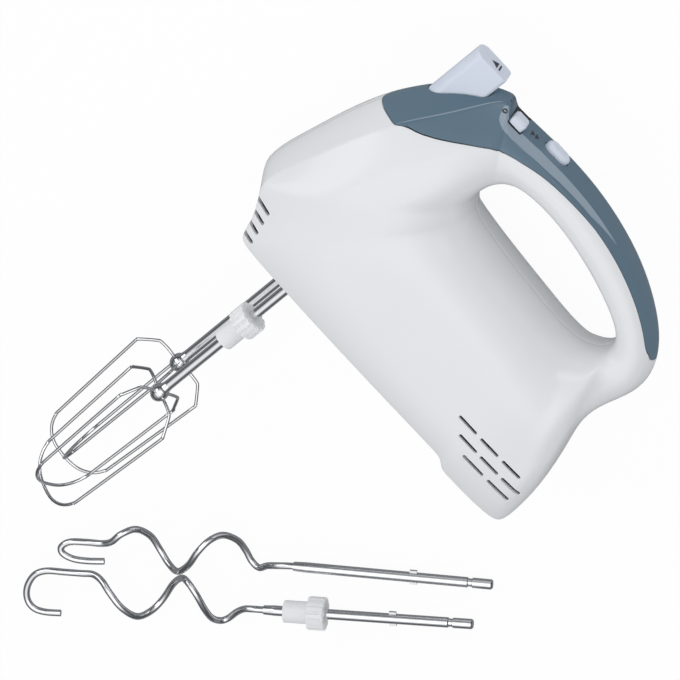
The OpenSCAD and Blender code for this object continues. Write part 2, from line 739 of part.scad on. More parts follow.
// Path through control points, three steps to each
function smooth_path(c) = concat(
  [for (k = [0 : len(c) - 2], f = [0, 0.33, 0.67])
    let (
      a = c[max(k - 1, 0)],
      b = c[k],
      d = c[k + 1],
      e = c[min(k + 2, len(c) - 1)]
    )
    b + (d - a) * f / 2 + (2 * a - 5 * b + 4 * d - e) * f * f / 2
      + (3 * b - a - 3 * d + e) * f * f * f / 2],
  [c[len(c) - 1]]
);

// Lays a hook on the surface: its tip at x, y and height, the hook heading away from there
module lay(x, y, height, heading, tilt) {
  translate([x, y, height - half_width]) rotate([0, 0, heading]) rotate([0, -tilt, 0]) children();
}

module lay_plain() {
  lay(hook_reach - 9.4, 22.5 - hook_drop, shaft_r + 0.03, -134.9, 3.4) children();
}

module lay_collar() {
  lay(hook_reach, -hook_drop, 8.26, -132.2, 0.75) children();
}

// Hook shaft with its groove, two ears and the narrower end that grips the wire
module hook_shaft(length, ears) {
  color(chrome) {
    rotate([0, 90, 0]) difference() {
      rotate_extrude() polygon([
        [0, 0], [shaft_r - 0.6, 0], [shaft_r, 0.8], [shaft_r, 11], [shaft_r - 0.6, 11.6],
        [shaft_r - 0.6, 13.4], [shaft_r, 14], [shaft_r, length - 6], [shaft_r - 0.3, length],
        [0, length]
      ]);
      translate([0, 0, length - 8]) cylinder(h = 10, r = hook_wire_d / 2 + 0.03);
    }
    for (s = [-1, 1]) translate([ears, s * (shaft_r - 0.3), -0.8]) rotate([0, 0, s > 0 ? 0 : 180])
      translate([-2, 0, 0]) cube([4, 1.6, 1.6]);
  }
}

PLAIN_WIRE = [
  [103, 0, 0], [112, 0, 0], [119.5, 1, -1], [126, 3, -4], [131, 6, -7],
  [135.5, 3, -8.5], [139, -4, -7.5], [143, -10.5, -4.5], [150, -15, 0.5], [156.5, -13.5, 6],
  [162.5, -7, 8.5], [168, 2.5, 5.5], [175, 9.5, 0], [181, 8, -5.5], [186.5, 1.5, -8.5],
  [191.5, -7.5, -6], [198.5, -13.5, 0], [206, -11.5, 4], [211.5, -6, 3], [217, -3.5, 1],
  [225, -3, 0], [234, -2.5, 0], [238.6, -0.5, 0], [240.3, 2.5, 0], [238.6, 5.5, 0],
  [233, 7.8, 0], [225, 8.2, 0], [216, 7.5, 0]
];

COLLAR_WIRE = [
  [109.5, 0, 0], [118, 0, 0], [124.5, 0, 0], [129, 1, -1.5], [134, 4.5, -4.5],
  [139.5, 9.5, -6.5], [143.5, 10.5, -5], [147, 7, 0], [149.8, -0.5, 5], [153, -9.5, 8],
  [158, -16, 6.5], [163, -16, 0.5], [169.5, -9.5, -5.5], [176.5, 1.5, -8.3], [182.5, 7.5, -5],
  [189, 8.5, 1.5], [196, 1.5, 7], [202.5, -7, 7], [207.5, -12.5, 4], [213, -14.7, 1],
  [220, -14.4, 0], [229.5, -14.5, 0], [239.5, -14.5, 0], [246, -12, 0], [250, -6.5, 0],
  [251.5, -0.5, 0], [250.5, 5, 0], [247, 8.8, 0], [241, 10.3, 0], [232.5, 10.3, 0]
];

module hook_wire(path) {
  color(chrome) sweep(smooth_path(path), hook_wire_d / 2, 8, [0, 0, 1]);
}

// Puts the middle of the whole set at the origin, resting on the surface
module place() {
  translate([(24.4 - hook_reach) / 2, (hook_drop + 29.8) / 2, half_width]) children();
}

place() left_housing();
place() right_housing();
place() top_cover();
place() eject_button();
place() eject_pusher();
place() eject_spring();
place() speed_slider();
place() speed_switch();
place() turbo_button();
place() turbo_spring();
place() turbo_switch();
place() housing_screws();
place() cord_bushing();
place() terminal_block();
place() suppression_capacitor();
place() gear_frame();
place() bush(spindle_z);  // left_bush
place() bush(-spindle_z);  // right_bush
place() spindle(spindle_z);  // left_spindle
place() spindle(-spindle_z);  // right_spindle
place() gear(spindle_z, 7.5);  // left_gear
place() gear(-spindle_z, 0);  // right_gear
place() washer(spindle_z);  // left_washer
place() washer(-spindle_z);  // right_washer
place() worm();
place() motor_shaft();
place() armature_core();
place() armature_winding();
place() commutator();
place() cooling_fan();
place() color(chrome) ring(58, 7, 8, motor_shaft_d / 2 + 0.05);  // front_bearing
place() color(chrome) ring(146, 7, 8, motor_shaft_d / 2 + 0.05);  // rear_bearing
place() bracket(59, 3);  // front_bracket
place() bracket(148, 3);  // rear_bracket
place() stator_core();
place() field_coil(1);  // upper_field_coil
place() field_coil(-1);  // lower_field_coil
place() brush_holders();
place() carbon_brushes();
place() brush_springs();
place() motor_screws();
place() beater_shaft(spindle_z);  // left_beater_shaft
place() left_beater_collar();
place() beater_loop(spindle_z, 41, loop_radius, loop_height);  // left_beater_outer_loop
place() beater_loop(spindle_z, -49, loop_radius - 1.5, loop_height - 2.6);  // left_beater_inner_loop
place() beater_shaft(-spindle_z);  // right_beater_shaft
place() beater_loop(-spindle_z, 4, loop_radius, loop_height);  // right_beater_outer_loop
place() beater_loop(-spindle_z, 94, loop_radius - 1.5, loop_height - 2.6);  // right_beater_inner_loop
place() lay_plain() hook_shaft(110.5, 44);  // plain_hook_shaft
place() lay_plain() hook_wire(PLAIN_WIRE);  // plain_hook_wire
place() lay_collar() hook_shaft(117.5, 45);  // collar_hook_shaft
place() lay_collar()  // collar_hook_collar
  color(white) translate([92.2, 0, 0]) rotate([0, -90, 0]) collar();
place() lay_collar() hook_wire(COLLAR_WIRE);  // collar_hook_wire
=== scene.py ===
# Hand mixer with wire beaters and two loose dough hooks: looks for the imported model
import math

import bmesh
import bpy
from mathutils import Matrix, Vector
from mathutils.bvhtree import BVHTree
from mathutils.kdtree import KDTree


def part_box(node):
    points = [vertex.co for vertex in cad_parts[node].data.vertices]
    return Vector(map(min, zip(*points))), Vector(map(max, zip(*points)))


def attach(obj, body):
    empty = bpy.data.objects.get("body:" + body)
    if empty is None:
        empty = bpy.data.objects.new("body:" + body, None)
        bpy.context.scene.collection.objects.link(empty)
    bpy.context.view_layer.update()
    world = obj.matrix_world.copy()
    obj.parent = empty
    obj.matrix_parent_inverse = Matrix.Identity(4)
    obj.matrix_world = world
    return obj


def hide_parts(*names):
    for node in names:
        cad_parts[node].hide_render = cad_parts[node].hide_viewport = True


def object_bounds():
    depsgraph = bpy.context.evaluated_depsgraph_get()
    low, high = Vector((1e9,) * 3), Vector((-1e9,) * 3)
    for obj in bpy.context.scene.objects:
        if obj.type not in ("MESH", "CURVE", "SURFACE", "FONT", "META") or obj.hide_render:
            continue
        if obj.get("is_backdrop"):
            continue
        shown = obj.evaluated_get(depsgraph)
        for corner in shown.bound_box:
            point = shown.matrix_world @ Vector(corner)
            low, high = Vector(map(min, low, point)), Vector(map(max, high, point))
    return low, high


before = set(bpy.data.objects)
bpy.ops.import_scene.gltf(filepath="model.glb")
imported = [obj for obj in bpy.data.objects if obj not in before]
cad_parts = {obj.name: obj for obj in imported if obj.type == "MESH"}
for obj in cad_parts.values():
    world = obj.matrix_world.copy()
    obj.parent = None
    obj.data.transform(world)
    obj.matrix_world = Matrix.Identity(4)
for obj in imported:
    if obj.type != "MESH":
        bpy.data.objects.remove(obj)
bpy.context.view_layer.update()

# the mixer's own millimetres: x from the nose to the rear, y up through the handle,
# z from the middle towards the left side
originShift = Vector((-115, 62, 46))


def at(x, y, z):
    return (Vector((x, y, z)) + originShift) / 1000


spindleX, spindleZ = 37.5, 21  # the two spindles stand at spindleZ and -spindleZ
weld = 0.001  # points closer than this are one
alongX = Matrix.Rotation(math.pi / 2, 4, "Y")  # turns a cylinder that lies along z
alongY = Matrix.Rotation(math.pi / 2, 4, "X")

# outer x, y; opening x, y; half width of the outer face; set back of its edge; side width change;
# start and end of the side; fullness of the flare; width of the bevel, in millimetres
bodySections = [
    [-2.5, -4, 71, 97, 34, 0.8, -2, 0.42, 0.60, 0.5, 1.6],
    [6, -4.5, 73, 95.5, 36, 0.6, -1.5, 0.38, 0.60, 0.5, 1.6],
    [35, -3.6, 80, 93.5, 39, 0.4, 0, 0.30, 0.62, 0.45, 1.6],
    [80, -2.9, 96, 91, 41, 0.4, 0, 0.24, 0.62, 0.4, 1.6],
    [125, -2.4, 118, 89, 41, 0.4, 0, 0.22, 0.62, 0.4, 1.6],
    [152, -2.2, 134, 88, 40.5, 0.4, 0, 0.22, 0.60, 0.4, 1.6],
    [160, -2.2, 140, 87.5, 40.5, 0.4, 0, 0.22, 0.60, 0.4, 1.6],
    [163.5, -6.8, 145, 87.5, 40, 0.4, 0, 0.24, 0.60, 0.4, 1.6],
    [170, -7, 150, 87.5, 39.5, 0.4, 0, 0.26, 0.58, 0.4, 1.6],
    [190, -7.6, 156, 88, 38, 0.6, -0.5, 0.30, 0.56, 0.4, 1.6],
    [204, -8, 161, 88.8, 35, 1.5, -1.5, 0.32, 0.54, 0.4, 1.6],
    [209.5, -8, 165, 90, 32, 3, -2, 0.33, 0.52, 0.4, 1.6],
    [210.5, 1, 168.5, 92, 30, 4, -2.5, 0.35, 0.50, 0.4, 1.6],
    [209.5, 20, 171.5, 94.2, 26, 4.5, -6, 0.38, 0.48, 0.4, 1.6],
    [203, 41, 174, 97.5, 20, 4.5, -13, 0.42, 0.50, 0.4, 1.6],
    [196, 60, 175, 100.5, 15, 4, -21, 0.45, 0.52, 0.4, 1.6],
    [198.5, 75.5, 175, 103.5, 12, 3.5, -26, 0.45, 0.52, 0.4, 1.6],
    [204, 91.5, 174, 106.5, 10.5, 3, -27.8, 0.45, 0.55, 0.35, 1.6],
    [202.5, 106, 171.5, 109.5, 10, 3, -28.2, 0.45, 0.55, 0.35, 1.6],
    [194, 120, 167.5, 112.5, 10, 2.5, -28, 0.45, 0.55, 0.35, 1.6],
    [179.5, 131, 160.5, 116, 10, 2, -27.7, 0.45, 0.55, 0.35, 1.6],
    [159.5, 141, 148, 120.5, 11, 1.5, -27.3, 0.45, 0.55, 0.4, 1.6],
    [134.5, 149, 130, 125.5, 12, 1, -26.8, 0.45, 0.55, 0.6, 3],
    [105, 153.7, 108, 129.3, 13, 0.6, -26.4, 0.45, 0.55, 0.72, 5],
    [78, 153.7, 90, 129.3, 13.5, 0.5, -26.2, 0.45, 0.55, 0.75, 6],
    [58, 151.7, 79, 127.5, 13.8, 0.4, -25.6, 0.45, 0.55, 0.75, 6],
    [47, 151, 73.5, 124.5, 14, 0.4, -24.6, 0.48, 0.55, 0.72, 6],
    [43, 151, 70.5, 121.7, 12.5, 0.5, -24, 0.5, 0.57, 0.65, 4],
    [39.5, 155.5, 68.5, 119, 7, 0.9, -23.6, 0.58, 0.62, 0.6, 1.6],
    [34, 158.5, 67, 116.5, 6.8, 2.6, -22, 0.57, 0.62, 0.6, 1.6],
    [11.5, 141, 65.8, 113.5, 18.5, 13, -16, 0.55, 0.64, 0.6, 1.6],
    [-5.8, 107, 65.2, 111, 28.5, 9.8, -10, 0.52, 0.64, 0.6, 1.6],
    [-13.8, 79, 65, 109, 31, 9.8, -6.5, 0.50, 0.62, 0.58, 1.6],
    [-18, 54, 65, 107, 28.6, 9.6, -4, 0.48, 0.60, 0.55, 1.6],
    [-21.6, 34, 65.2, 105, 26.8, 9, -3, 0.46, 0.60, 0.55, 1.6],
    [-21.6, 22.5, 65.6, 103.5, 28.5, 6.3, -2.5, 0.46, 0.60, 0.55, 1.6],
    [-14.5, 18, 66.3, 102, 31, 3, -2.3, 0.45, 0.60, 0.55, 1.6],
    [-7.5, 11, 67.5, 100.5, 32.5, 1.2, -2.2, 0.44, 0.60, 0.52, 1.6],
    [-4, 3, 69, 99, 33.5, 0.9, -2, 0.43, 0.60, 0.5, 1.6],
]

# where the blue cover's edge lies on the skin: along t, and how far out in u
coverEdge = [
    [18.58, 0], [18.62, 0.13], [18.72, 0.23], [18.84, 0.285], [19, 0.325], [19.25, 0.348],
    [19.5, 0.354], [20, 0.357], [21, 0.35], [22, 0.328], [22.5, 0.318], [23, 0.325],
    [23.5, 0.336], [24, 0.353], [24.5, 0.38], [25, 0.408], [25.5, 0.42], [26, 0.428],
    [27, 0.44], [28, 0.446], [28.5, 0.45], [29, 0.445], [29.5, 0.432], [30, 0.402],
    [30.25, 0.383], [30.58, 0.352], [30.78, 0.327], [30.94, 0.29], [31, 0.26], [31.06, 0.215],
    [31.14, 0.155], [31.21, 0.1], [31.255, 0.045], [31.28, 0],
]

# each hook's wire in its own millimetres, from the shaft's end
plainHookPath = [
    [103, 0, 0], [112, 0, 0], [119.5, 1, -1], [126, 3, -4], [131, 6, -7],
    [135.5, 3, -8.5], [139, -4, -7.5], [143, -10.5, -4.5], [150, -15, 0.5], [156.5, -13.5, 6],
    [162.5, -7, 8.5], [168, 2.5, 5.5], [175, 9.5, 0], [181, 8, -5.5], [186.5, 1.5, -8.5],
    [191.5, -7.5, -6], [198.5, -13.5, 0], [206, -11.5, 4], [211.5, -6, 3], [217, -3.5, 1],
    [225, -3, 0], [234, -2.5, 0], [238.6, -0.5, 0], [240.3, 2.5, 0], [238.6, 5.5, 0],
    [233, 7.8, 0], [225, 8.2, 0], [216, 7.5, 0],
]
collarHookPath = [
    [109.5, 0, 0], [118, 0, 0], [124.5, 0, 0], [129, 1, -1.5], [134, 4.5, -4.5],
    [139.5, 9.5, -6.5], [143.5, 10.5, -5], [147, 7, 0], [149.8, -0.5, 5], [153, -9.5, 8],
    [158, -16, 6.5], [163, -16, 0.5], [169.5, -9.5, -5.5], [176.5, 1.5, -8.3], [182.5, 7.5, -5],
    [189, 8.5, 1.5], [196, 1.5, 7], [202.5, -7, 7], [207.5, -12.5, 4], [213, -14.7, 1],
    [220, -14.4, 0], [229.5, -14.5, 0], [239.5, -14.5, 0], [246, -12, 0], [250, -6.5, 0],
    [251.5, -0.5, 0], [250.5, 5, 0], [247, 8.8, 0], [241, 10.3, 0], [232.5, 10.3, 0],
]


def section(t):
    # smooth reading of bodySections, which close on themselves
    k = math.floor(t)
    f = t - k
    g = 1 - f
    weights = (g ** 3, 3 * f ** 3 - 6 * f * f + 4, 1 + 3 * f + 3 * f * f - 3 * f ** 3, f ** 3)
    rows = [bodySections[(k + step) % len(bodySections)] for step in (-1, 0, 1, 2)]
    return [sum(w * row[c] for w, row in zip(weights, rows)) / 6 for c in range(11)]


def bend(a, b, c, f):
    return [p * (1 - f) ** 2 + q * 2 * f * (1 - f) + r * f * f for p, q, r in zip(a, b, c)]


def skin(t, u, inset=0.0):
    # t runs round the handle's loop, u from the outer middle to the finger opening
    ox, oy, ix, iy, face, back, widen, start, end, full, bevel = section(t)
    length = math.hypot(ix - ox, iy - oy)
    face -= inset * 0.7
    full += bodyShape["flare"] * max(0.0, 1 - abs(t - bodyShape["flareAt"]) / bodyShape["flareReach"])
    swell = bodyShape["crown"]
    wide = bodyShape["halfWidth"] + widen - inset
    sideStart, sideEnd, inner = start * length, end * length, length - inset
    ease = bevel * 0.6
    flat = max(0.0, min(1.0, (bevel - 1.6) / 2))
    edge = (back + inset, face)
    pull = (back + inset + full * (sideStart - back - inset), wide)
    away = math.hypot(pull[0] - edge[0], pull[1] - edge[1])
    first = (edge[0] - swell * back * ease / face, edge[1] - ease)
    last = [e + (p - e) / away * bevel for e, p in zip(edge, pull)]
    corner = [e * (1 - flat) + (a + b) / 2 * flat for e, a, b in zip(edge, first, last)]
    if u < 0.2:
        f = u / 0.2 * (face - ease) / face
        q, z = inset + back * f ** swell, face * f
    elif u < 0.3:
        q, z = bend(first, corner, last, (u - 0.2) * 10)
    elif u < 0.5:
        q, z = bend(last, pull, (sideStart, wide), (u - 0.3) * 5)
    elif u < 0.58:
        q, z = sideStart + (sideEnd - sideStart) * (u - 0.5) / 0.08, wide
    else:
        turn = min(90.0, (u - 0.58) / 0.42 * 90) * math.pi / 180
        q = sideEnd + (inner - sideEnd) * math.sin(turn) ** 0.9
        z = wide * max(0.0, math.cos(turn)) ** 0.9
    return Vector((ox + (ix - ox) / length * q, oy + (iy - oy) / length * q, z))


def edgeAt(t):
    # smooth reading of coverEdge, 0 away from the cover
    if t <= coverEdge[0][0] or t >= coverEdge[-1][0]:
        return 0.0
    k = max(i for i, row in enumerate(coverEdge) if row[0] <= t)
    (t0, u0), (t1, u1) = coverEdge[k], coverEdge[k + 1]
    slopes = []
    for i in (k, k + 1):
        low, high = coverEdge[max(i - 1, 0)], coverEdge[min(i + 1, len(coverEdge) - 1)]
        slopes.append((high[1] - low[1]) / (high[0] - low[0]) * (t1 - t0))
    f = (t - t0) / (t1 - t0)
    return ((2 * f ** 3 - 3 * f * f + 1) * u0 + (f ** 3 - 2 * f * f + f) * slopes[0]
            + (3 * f * f - 2 * f ** 3) * u1 + (f ** 3 - f * f) * slopes[1])


def spread(low, high, step):
    # evenly spaced values from low to just short of high
    count = max(1, round((high - low) / step))
    return [low + (high - low) * k / count for k in range(count)]


def loft(bm, rows, ring=False):
    # a grid laid over rows of points, each row closed on itself
    count, across = len(rows), len(rows[0])
    bands = count if ring else count - 1
    grid = bmesh.ops.create_grid(bm, x_segments=across, y_segments=bands, size=1)
    for vert in grid["verts"]:
        i = round((vert.co.y + 1) / 2 * bands)
        j = round((vert.co.x + 1) / 2 * across)
        vert.co = rows[i % count][j % across]
    bmesh.ops.remove_doubles(bm, verts=grid["verts"], dist=weld)


def closeEnds(bm):
    edges = [e for e in bm.edges if e.is_boundary]
    bmesh.ops.holes_fill(bm, edges=edges, sides=0)


def tidy(bm):
    bmesh.ops.dissolve_degenerate(bm, edges=bm.edges, dist=weld / 2)
    bmesh.ops.remove_doubles(bm, verts=bm.verts, dist=weld)
    bmesh.ops.recalc_face_normals(bm, faces=bm.faces)


def toObject(name, bm):
    mesh = bpy.data.meshes.new(name)
    bm.to_mesh(mesh)
    bm.free()
    obj = bpy.data.objects.new(name, mesh)
    bpy.context.scene.collection.objects.link(obj)
    return obj


def meshOf(obj):
    # the mesh that an object shows, with its modifiers or its curve's thickness
    bpy.context.view_layer.update()
    return bpy.data.meshes.new_from_object(obj.evaluated_get(bpy.context.evaluated_depsgraph_get()))


def combine(obj, tool, operation):
    # joins the tool to the object or cuts it out, and uses the tool up
    modifier = obj.modifiers.new(operation.lower(), "BOOLEAN")
    modifier.operation = operation
    modifier.solver = "MANIFOLD"
    modifier.object = tool
    mesh = meshOf(obj)
    obj.modifiers.clear()
    obj.data = mesh
    bpy.data.objects.remove(tool)


def place(obj, body, replaced, coat, crease):
    # from the mixer's own millimetres into the frame, shaded, finished and carried by its body
    mesh = obj.data
    mesh.transform(Matrix.Diagonal((0.001, 0.001, 0.001, 1)) @ Matrix.Translation(originShift))
    for polygon in mesh.polygons:
        polygon.use_smooth = True
    mesh.set_sharp_from_angle(angle=math.radians(crease))
    mesh.materials.clear()
    mesh.materials.append(finish[coat])
    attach(obj, body)
    if replaced:
        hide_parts(*replaced)
    print("placed", obj.name, len(mesh.polygons))


def rod(bm, radius, length, middle, turn=alongY, sides=48):
    made = bmesh.ops.create_cone(
        bm, cap_ends=True, segments=sides, radius1=radius, radius2=radius, depth=length,
        matrix=Matrix.Translation(middle) @ turn)
    return made["verts"]


def easeEdges(bm, edges, offset, segments):
    bmesh.ops.bevel(
        bm, geom=edges, offset=offset, offset_type="OFFSET", segments=segments, profile=0.5,
        affect="EDGES", material=-1, clamp_overlap=True)


def hullOf(bm, rounds, y0, y1, grow=0.0, sides=40):
    # solid stretched round cylinders along y, given as x, z and radius
    made = []
    for x, z, radius in rounds:
        made += rod(bm, radius + grow, y1 - y0, (x, (y0 + y1) / 2, z), sides=sides)
    hull = bmesh.ops.convex_hull(bm, input=made)
    spare = [v for v in hull["geom_interior"] if isinstance(v, bmesh.types.BMVert)]
    bmesh.ops.delete(bm, geom=spare, context="VERTS")
    bmesh.ops.dissolve_limit(bm, angle_limit=math.radians(1), verts=bm.verts, edges=bm.edges)
    bmesh.ops.recalc_face_normals(bm, faces=bm.faces)


def easeTop(bm, y, offset, segments):
    easeEdges(bm, [e for e in bm.edges if all(abs(v.co.y - y) < weld for v in e.verts)], offset, segments)


def capsule(bm, x0, x1, y, heights, sides=24):
    # pill along z, as wide as its first radius makes it: each height is a radius and a number or
    # function that gives z
    half = (x1 - x0) / 2
    middle = (x0 + x1) / 2
    rows = []
    for radius, z in heights:
        row = []
        for k in range(sides):
            turn = (k + 0.5) * 2 * math.pi / sides
            x = radius * math.cos(turn) + math.copysign(half - heights[0][0], math.cos(turn))
            px, py = middle + x, y + radius * math.sin(turn)
            row.append(Vector((px, py, z(px, py) if callable(z) else z)))
        rows.append(row)
    loft(bm, rows)


class Wire:
    # a shader socket that can be added and multiplied
    def __init__(self, shade, socket):
        self.shade = shade
        self.socket = socket

    def join(self, operation, first, second):
        node = self.shade.add("ShaderNodeMath", {"operation": operation}, {0: first, 1: second})
        return Wire(self.shade, node.outputs[0])

    def __add__(self, other):
        return self.join("ADD", self, other)

    def __radd__(self, other):
        return self.join("ADD", other, self)

    def __mul__(self, other):
        return self.join("MULTIPLY", self, other)

    def __rmul__(self, other):
        return self.join("MULTIPLY", other, self)


class Shade:
    # the nodes of one material or world
    def __init__(self, owner):
        self.owner = owner
        self.owner.use_nodes = True
        self.tree = self.owner.node_tree
        self.surface = self.tree.nodes.get("Principled BSDF")

    def add(self, kind, settings=None, sockets=None):
        node = self.tree.nodes.new(kind)
        for key, value in (settings or {}).items():
            if key == "stops":
                ramp = node.color_ramp
                while len(ramp.elements) < len(value):
                    ramp.elements.new(0.5)
                for element, (position, colour) in zip(ramp.elements, value):
                    element.position = position
                    element.color = (*colour, 1)
            else:
                setattr(node, key, value)
        for key, value in (sockets or {}).items():
            self.feed(node.inputs[key], value)
        return node

    def feed(self, socket, value):
        if isinstance(value, Wire):
            self.tree.links.new(value.socket, socket)
        else:
            socket.default_value = value

    def wire(self, node, output=0):
        return Wire(self, node.outputs[output])

    def grid(self, scale=(1, 1, 1)):
        coords = self.wire(self.add("ShaderNodeTexCoord"), "Object")
        return self.wire(self.add("ShaderNodeMapping", None, {"Vector": coords, "Scale": scale}))

    def noise(self, grid, size, detail):
        return self.wire(self.add(
            "ShaderNodeTexNoise", None, {"Vector": grid, "Scale": 1 / size, "Detail": detail}))

    def attribute(self, name):
        return self.wire(self.add("ShaderNodeAttribute", {"attribute_name": name}), "Fac")

    def rise(self, value, low, high):
        # 0 up to low, 1 from high on
        return self.wire(self.add(
            "ShaderNodeMapRange", {"clamp": True}, {0: value, 1: low, 2: high, 3: 0.0, 4: 1.0}))

    def tint(self, factor, first, second):
        first, second = (c if isinstance(c, Wire) else (*c, 1) for c in (first, second))
        mixed = self.add("ShaderNodeMix", {"data_type": "RGBA"}, {0: factor, 6: first, 7: second})
        return self.wire(mixed, 2)

    def blend(self, factor, first, second):
        return self.wire(self.add("ShaderNodeMixShader", None, {0: factor, 1: first, 2: second}))

    def steps(self, factor, stops):
        return self.wire(self.add("ShaderNodeValToRGB", {"stops": stops}, {0: factor}))

    def bump(self, height, strength, distance):
        return self.wire(self.add(
            "ShaderNodeBump", None, {"Height": height, "Strength": strength, "Distance": distance}))

    def finish(self, **values):
        for key, value in values.items():
            socket = self.surface.inputs[key.replace("_", " ")]
            if isinstance(value, tuple) and len(value) == 3:
                value = (*value, 1)
            self.feed(socket, value)
        return self.owner


def mouldedPlastic(name, colour, rough, vary, bump, grain=0.0004):
    # faint flow marks in the colour, a slightly uneven polish and a very fine skin
    shade = Shade(bpy.data.materials.new(name))
    flow = shade.noise(shade.grid(), 0.045, 2.0)
    polish = shade.noise(shade.grid((1, 1, 1.7)), 0.012, 4.0)
    texture = shade.noise(shade.grid(), grain, 2.0)
    dark = tuple(c * (1 - vary) for c in colour)
    light = tuple(min(1, c * (1 + vary)) for c in colour)
    return shade.finish(
        Base_Color=shade.tint(flow, dark, light),
        Roughness=polish * 0.08 + (rough - 0.04),
        Normal=shade.bump(texture, bump, 0.0001), IOR=1.5)


def slateWithPaintedLight(name, colour, pale, shadow):
    # slate plastic, with a painted highlight along the cover's bevel and crease, and painted shade in the
    # knob's track
    shade = Shade(bpy.data.materials.new(name))
    grid = shade.grid()
    flow = shade.noise(grid, 0.05, 2.0)
    polish = shade.noise(grid, 0.012, 4.0)
    base = shade.tint(flow, tuple(c * 0.985 for c in colour), colour)
    # painted highlight: pale slate along the bevel's and the crease's lines
    lit = shade.tint(shade.rise(shade.attribute("bevelDepth"), -0.002, 0.004), base, pale)
    return shade.finish(
        # painted shade: near black in the knob's track
        Base_Color=shade.tint(shade.rise(shade.attribute("trackDepth"), -0.02, 0.12), lit, shadow),
        Roughness=polish * 0.08 + 0.2,
        Normal=shade.bump(shade.noise(grid, 0.0004, 2.0), 0.02, 0.0001), IOR=1.5)


def polishedChrome(name, colour, rough):
    # plated wire: a clear mirror with fine drawing marks and a little haze
    shade = Shade(bpy.data.materials.new(name))
    haze = shade.noise(shade.grid(), 0.006, 3.0)
    marks = shade.noise(shade.grid((1, 0.08, 1)), 0.0007, 2.0)
    tone = shade.noise(shade.grid(), 0.03, 2.0)
    return shade.finish(
        Base_Color=shade.tint(tone, tuple(c * 0.93 for c in colour), colour),
        Metallic=1.0,
        Roughness=haze * 0.08 + marks * 0.05 + (rough - 0.05),
        Normal=shade.bump(marks, 0.05, 0.00005))


def workedMetal(name, colour, rough):
    # turned, pressed or rolled metal with its tool marks
    shade = Shade(bpy.data.materials.new(name))
    marks = shade.noise(shade.grid((1, 1, 0.06)), 0.0006, 3.0)
    tone = shade.noise(shade.grid(), 0.009, 3.0)
    return shade.finish(
        Base_Color=shade.tint(tone, tuple(c * 0.8 for c in colour), colour),
        Metallic=1.0,
        Roughness=marks * 0.16 + tone * 0.08 + (rough - 0.12),
        Normal=shade.bump(marks, 0.12, 0.0001))


def woundCopper(name, colour):
    # enamelled wire laid turn by turn
    shade = Shade(bpy.data.materials.new(name))
    turns = shade.add(
        "ShaderNodeTexWave", {"wave_type": "BANDS", "bands_direction": "DIAGONAL"},
        {"Vector": shade.grid(), "Scale": 420.0, "Distortion": 1.2, "Detail": 1.0})
    strand = shade.wire(turns, "Fac")
    return shade.finish(
        Base_Color=shade.tint(strand, tuple(c * 0.45 for c in colour), colour),
        Metallic=0.85, Roughness=strand * 0.1 + 0.28, Normal=shade.bump(strand, 0.5, 0.0003))


def stackedSteel(name, colour):
    # thin laminations pressed into one core
    shade = Shade(bpy.data.materials.new(name))
    bands = shade.add(
        "ShaderNodeTexWave", {"wave_type": "BANDS", "bands_direction": "X"},
        {"Vector": shade.grid(), "Scale": 300.0, "Distortion": 0.3})
    edge = shade.wire(bands, "Fac")
    rust = shade.noise(shade.grid(), 0.008, 4.0)
    return shade.finish(
        Base_Color=shade.tint(edge * 0.6 + rust * 0.4, tuple(c * 0.55 for c in colour), colour),
        Metallic=0.9, Roughness=rust * 0.2 + 0.35, Normal=shade.bump(edge, 0.4, 0.0002))


finish = {
    "white": mouldedPlastic("glossWhitePlastic", (0.80, 0.812, 0.825), rough=0.2, vary=0.012, bump=0.015),
    # its pale is the painted highlight on the cover's lines, its shadow the painted shade in the knob's
    # track
    "slate": slateWithPaintedLight(
        "slateBluePlastic", (0.112, 0.178, 0.236), pale=(0.28, 0.345, 0.41), shadow=(0.02, 0.026, 0.034)),
    "pale": mouldedPlastic("paleBluePlastic", (0.66, 0.71, 0.81), rough=0.24, vary=0.02, bump=0.03),
    "milk": mouldedPlastic(
        "milkWhitePlastic", (0.86, 0.87, 0.88), rough=0.4, vary=0.03, bump=0.12, grain=0.0007),
    "ivory": mouldedPlastic("nylonWhite", (0.72, 0.71, 0.66), rough=0.45, vary=0.04, bump=0.1),
    "dark": mouldedPlastic("darkPlastic", (0.035, 0.037, 0.042), rough=0.42, vary=0.15, bump=0.15),
    "print": mouldedPlastic("printedInk", (0.045, 0.055, 0.07), rough=0.5, vary=0.1, bump=0.05),
    "yellow": mouldedPlastic("capacitorYellow", (0.72, 0.55, 0.10), rough=0.4, vary=0.06, bump=0.1),
    "carbon": mouldedPlastic(
        "pressedCarbon", (0.03, 0.03, 0.032), rough=0.6, vary=0.25, bump=0.3, grain=0.0006),
    "chrome": polishedChrome("polishedChrome", (0.83, 0.835, 0.85), rough=0.09),
    "steel": workedMetal("turnedSteel", (0.62, 0.63, 0.65), rough=0.34),
    "spring": workedMetal("springSteel", (0.50, 0.51, 0.53), rough=0.28),
    "brass": workedMetal("turnedBrass", (0.72, 0.52, 0.22), rough=0.3),
    "copper": woundCopper("woundCopper", (0.72, 0.33, 0.14)),
    "barCopper": workedMetal("commutatorCopper", (0.75, 0.40, 0.22), rough=0.3),
    "core": stackedSteel("stackedSteel", (0.30, 0.31, 0.33)),
}
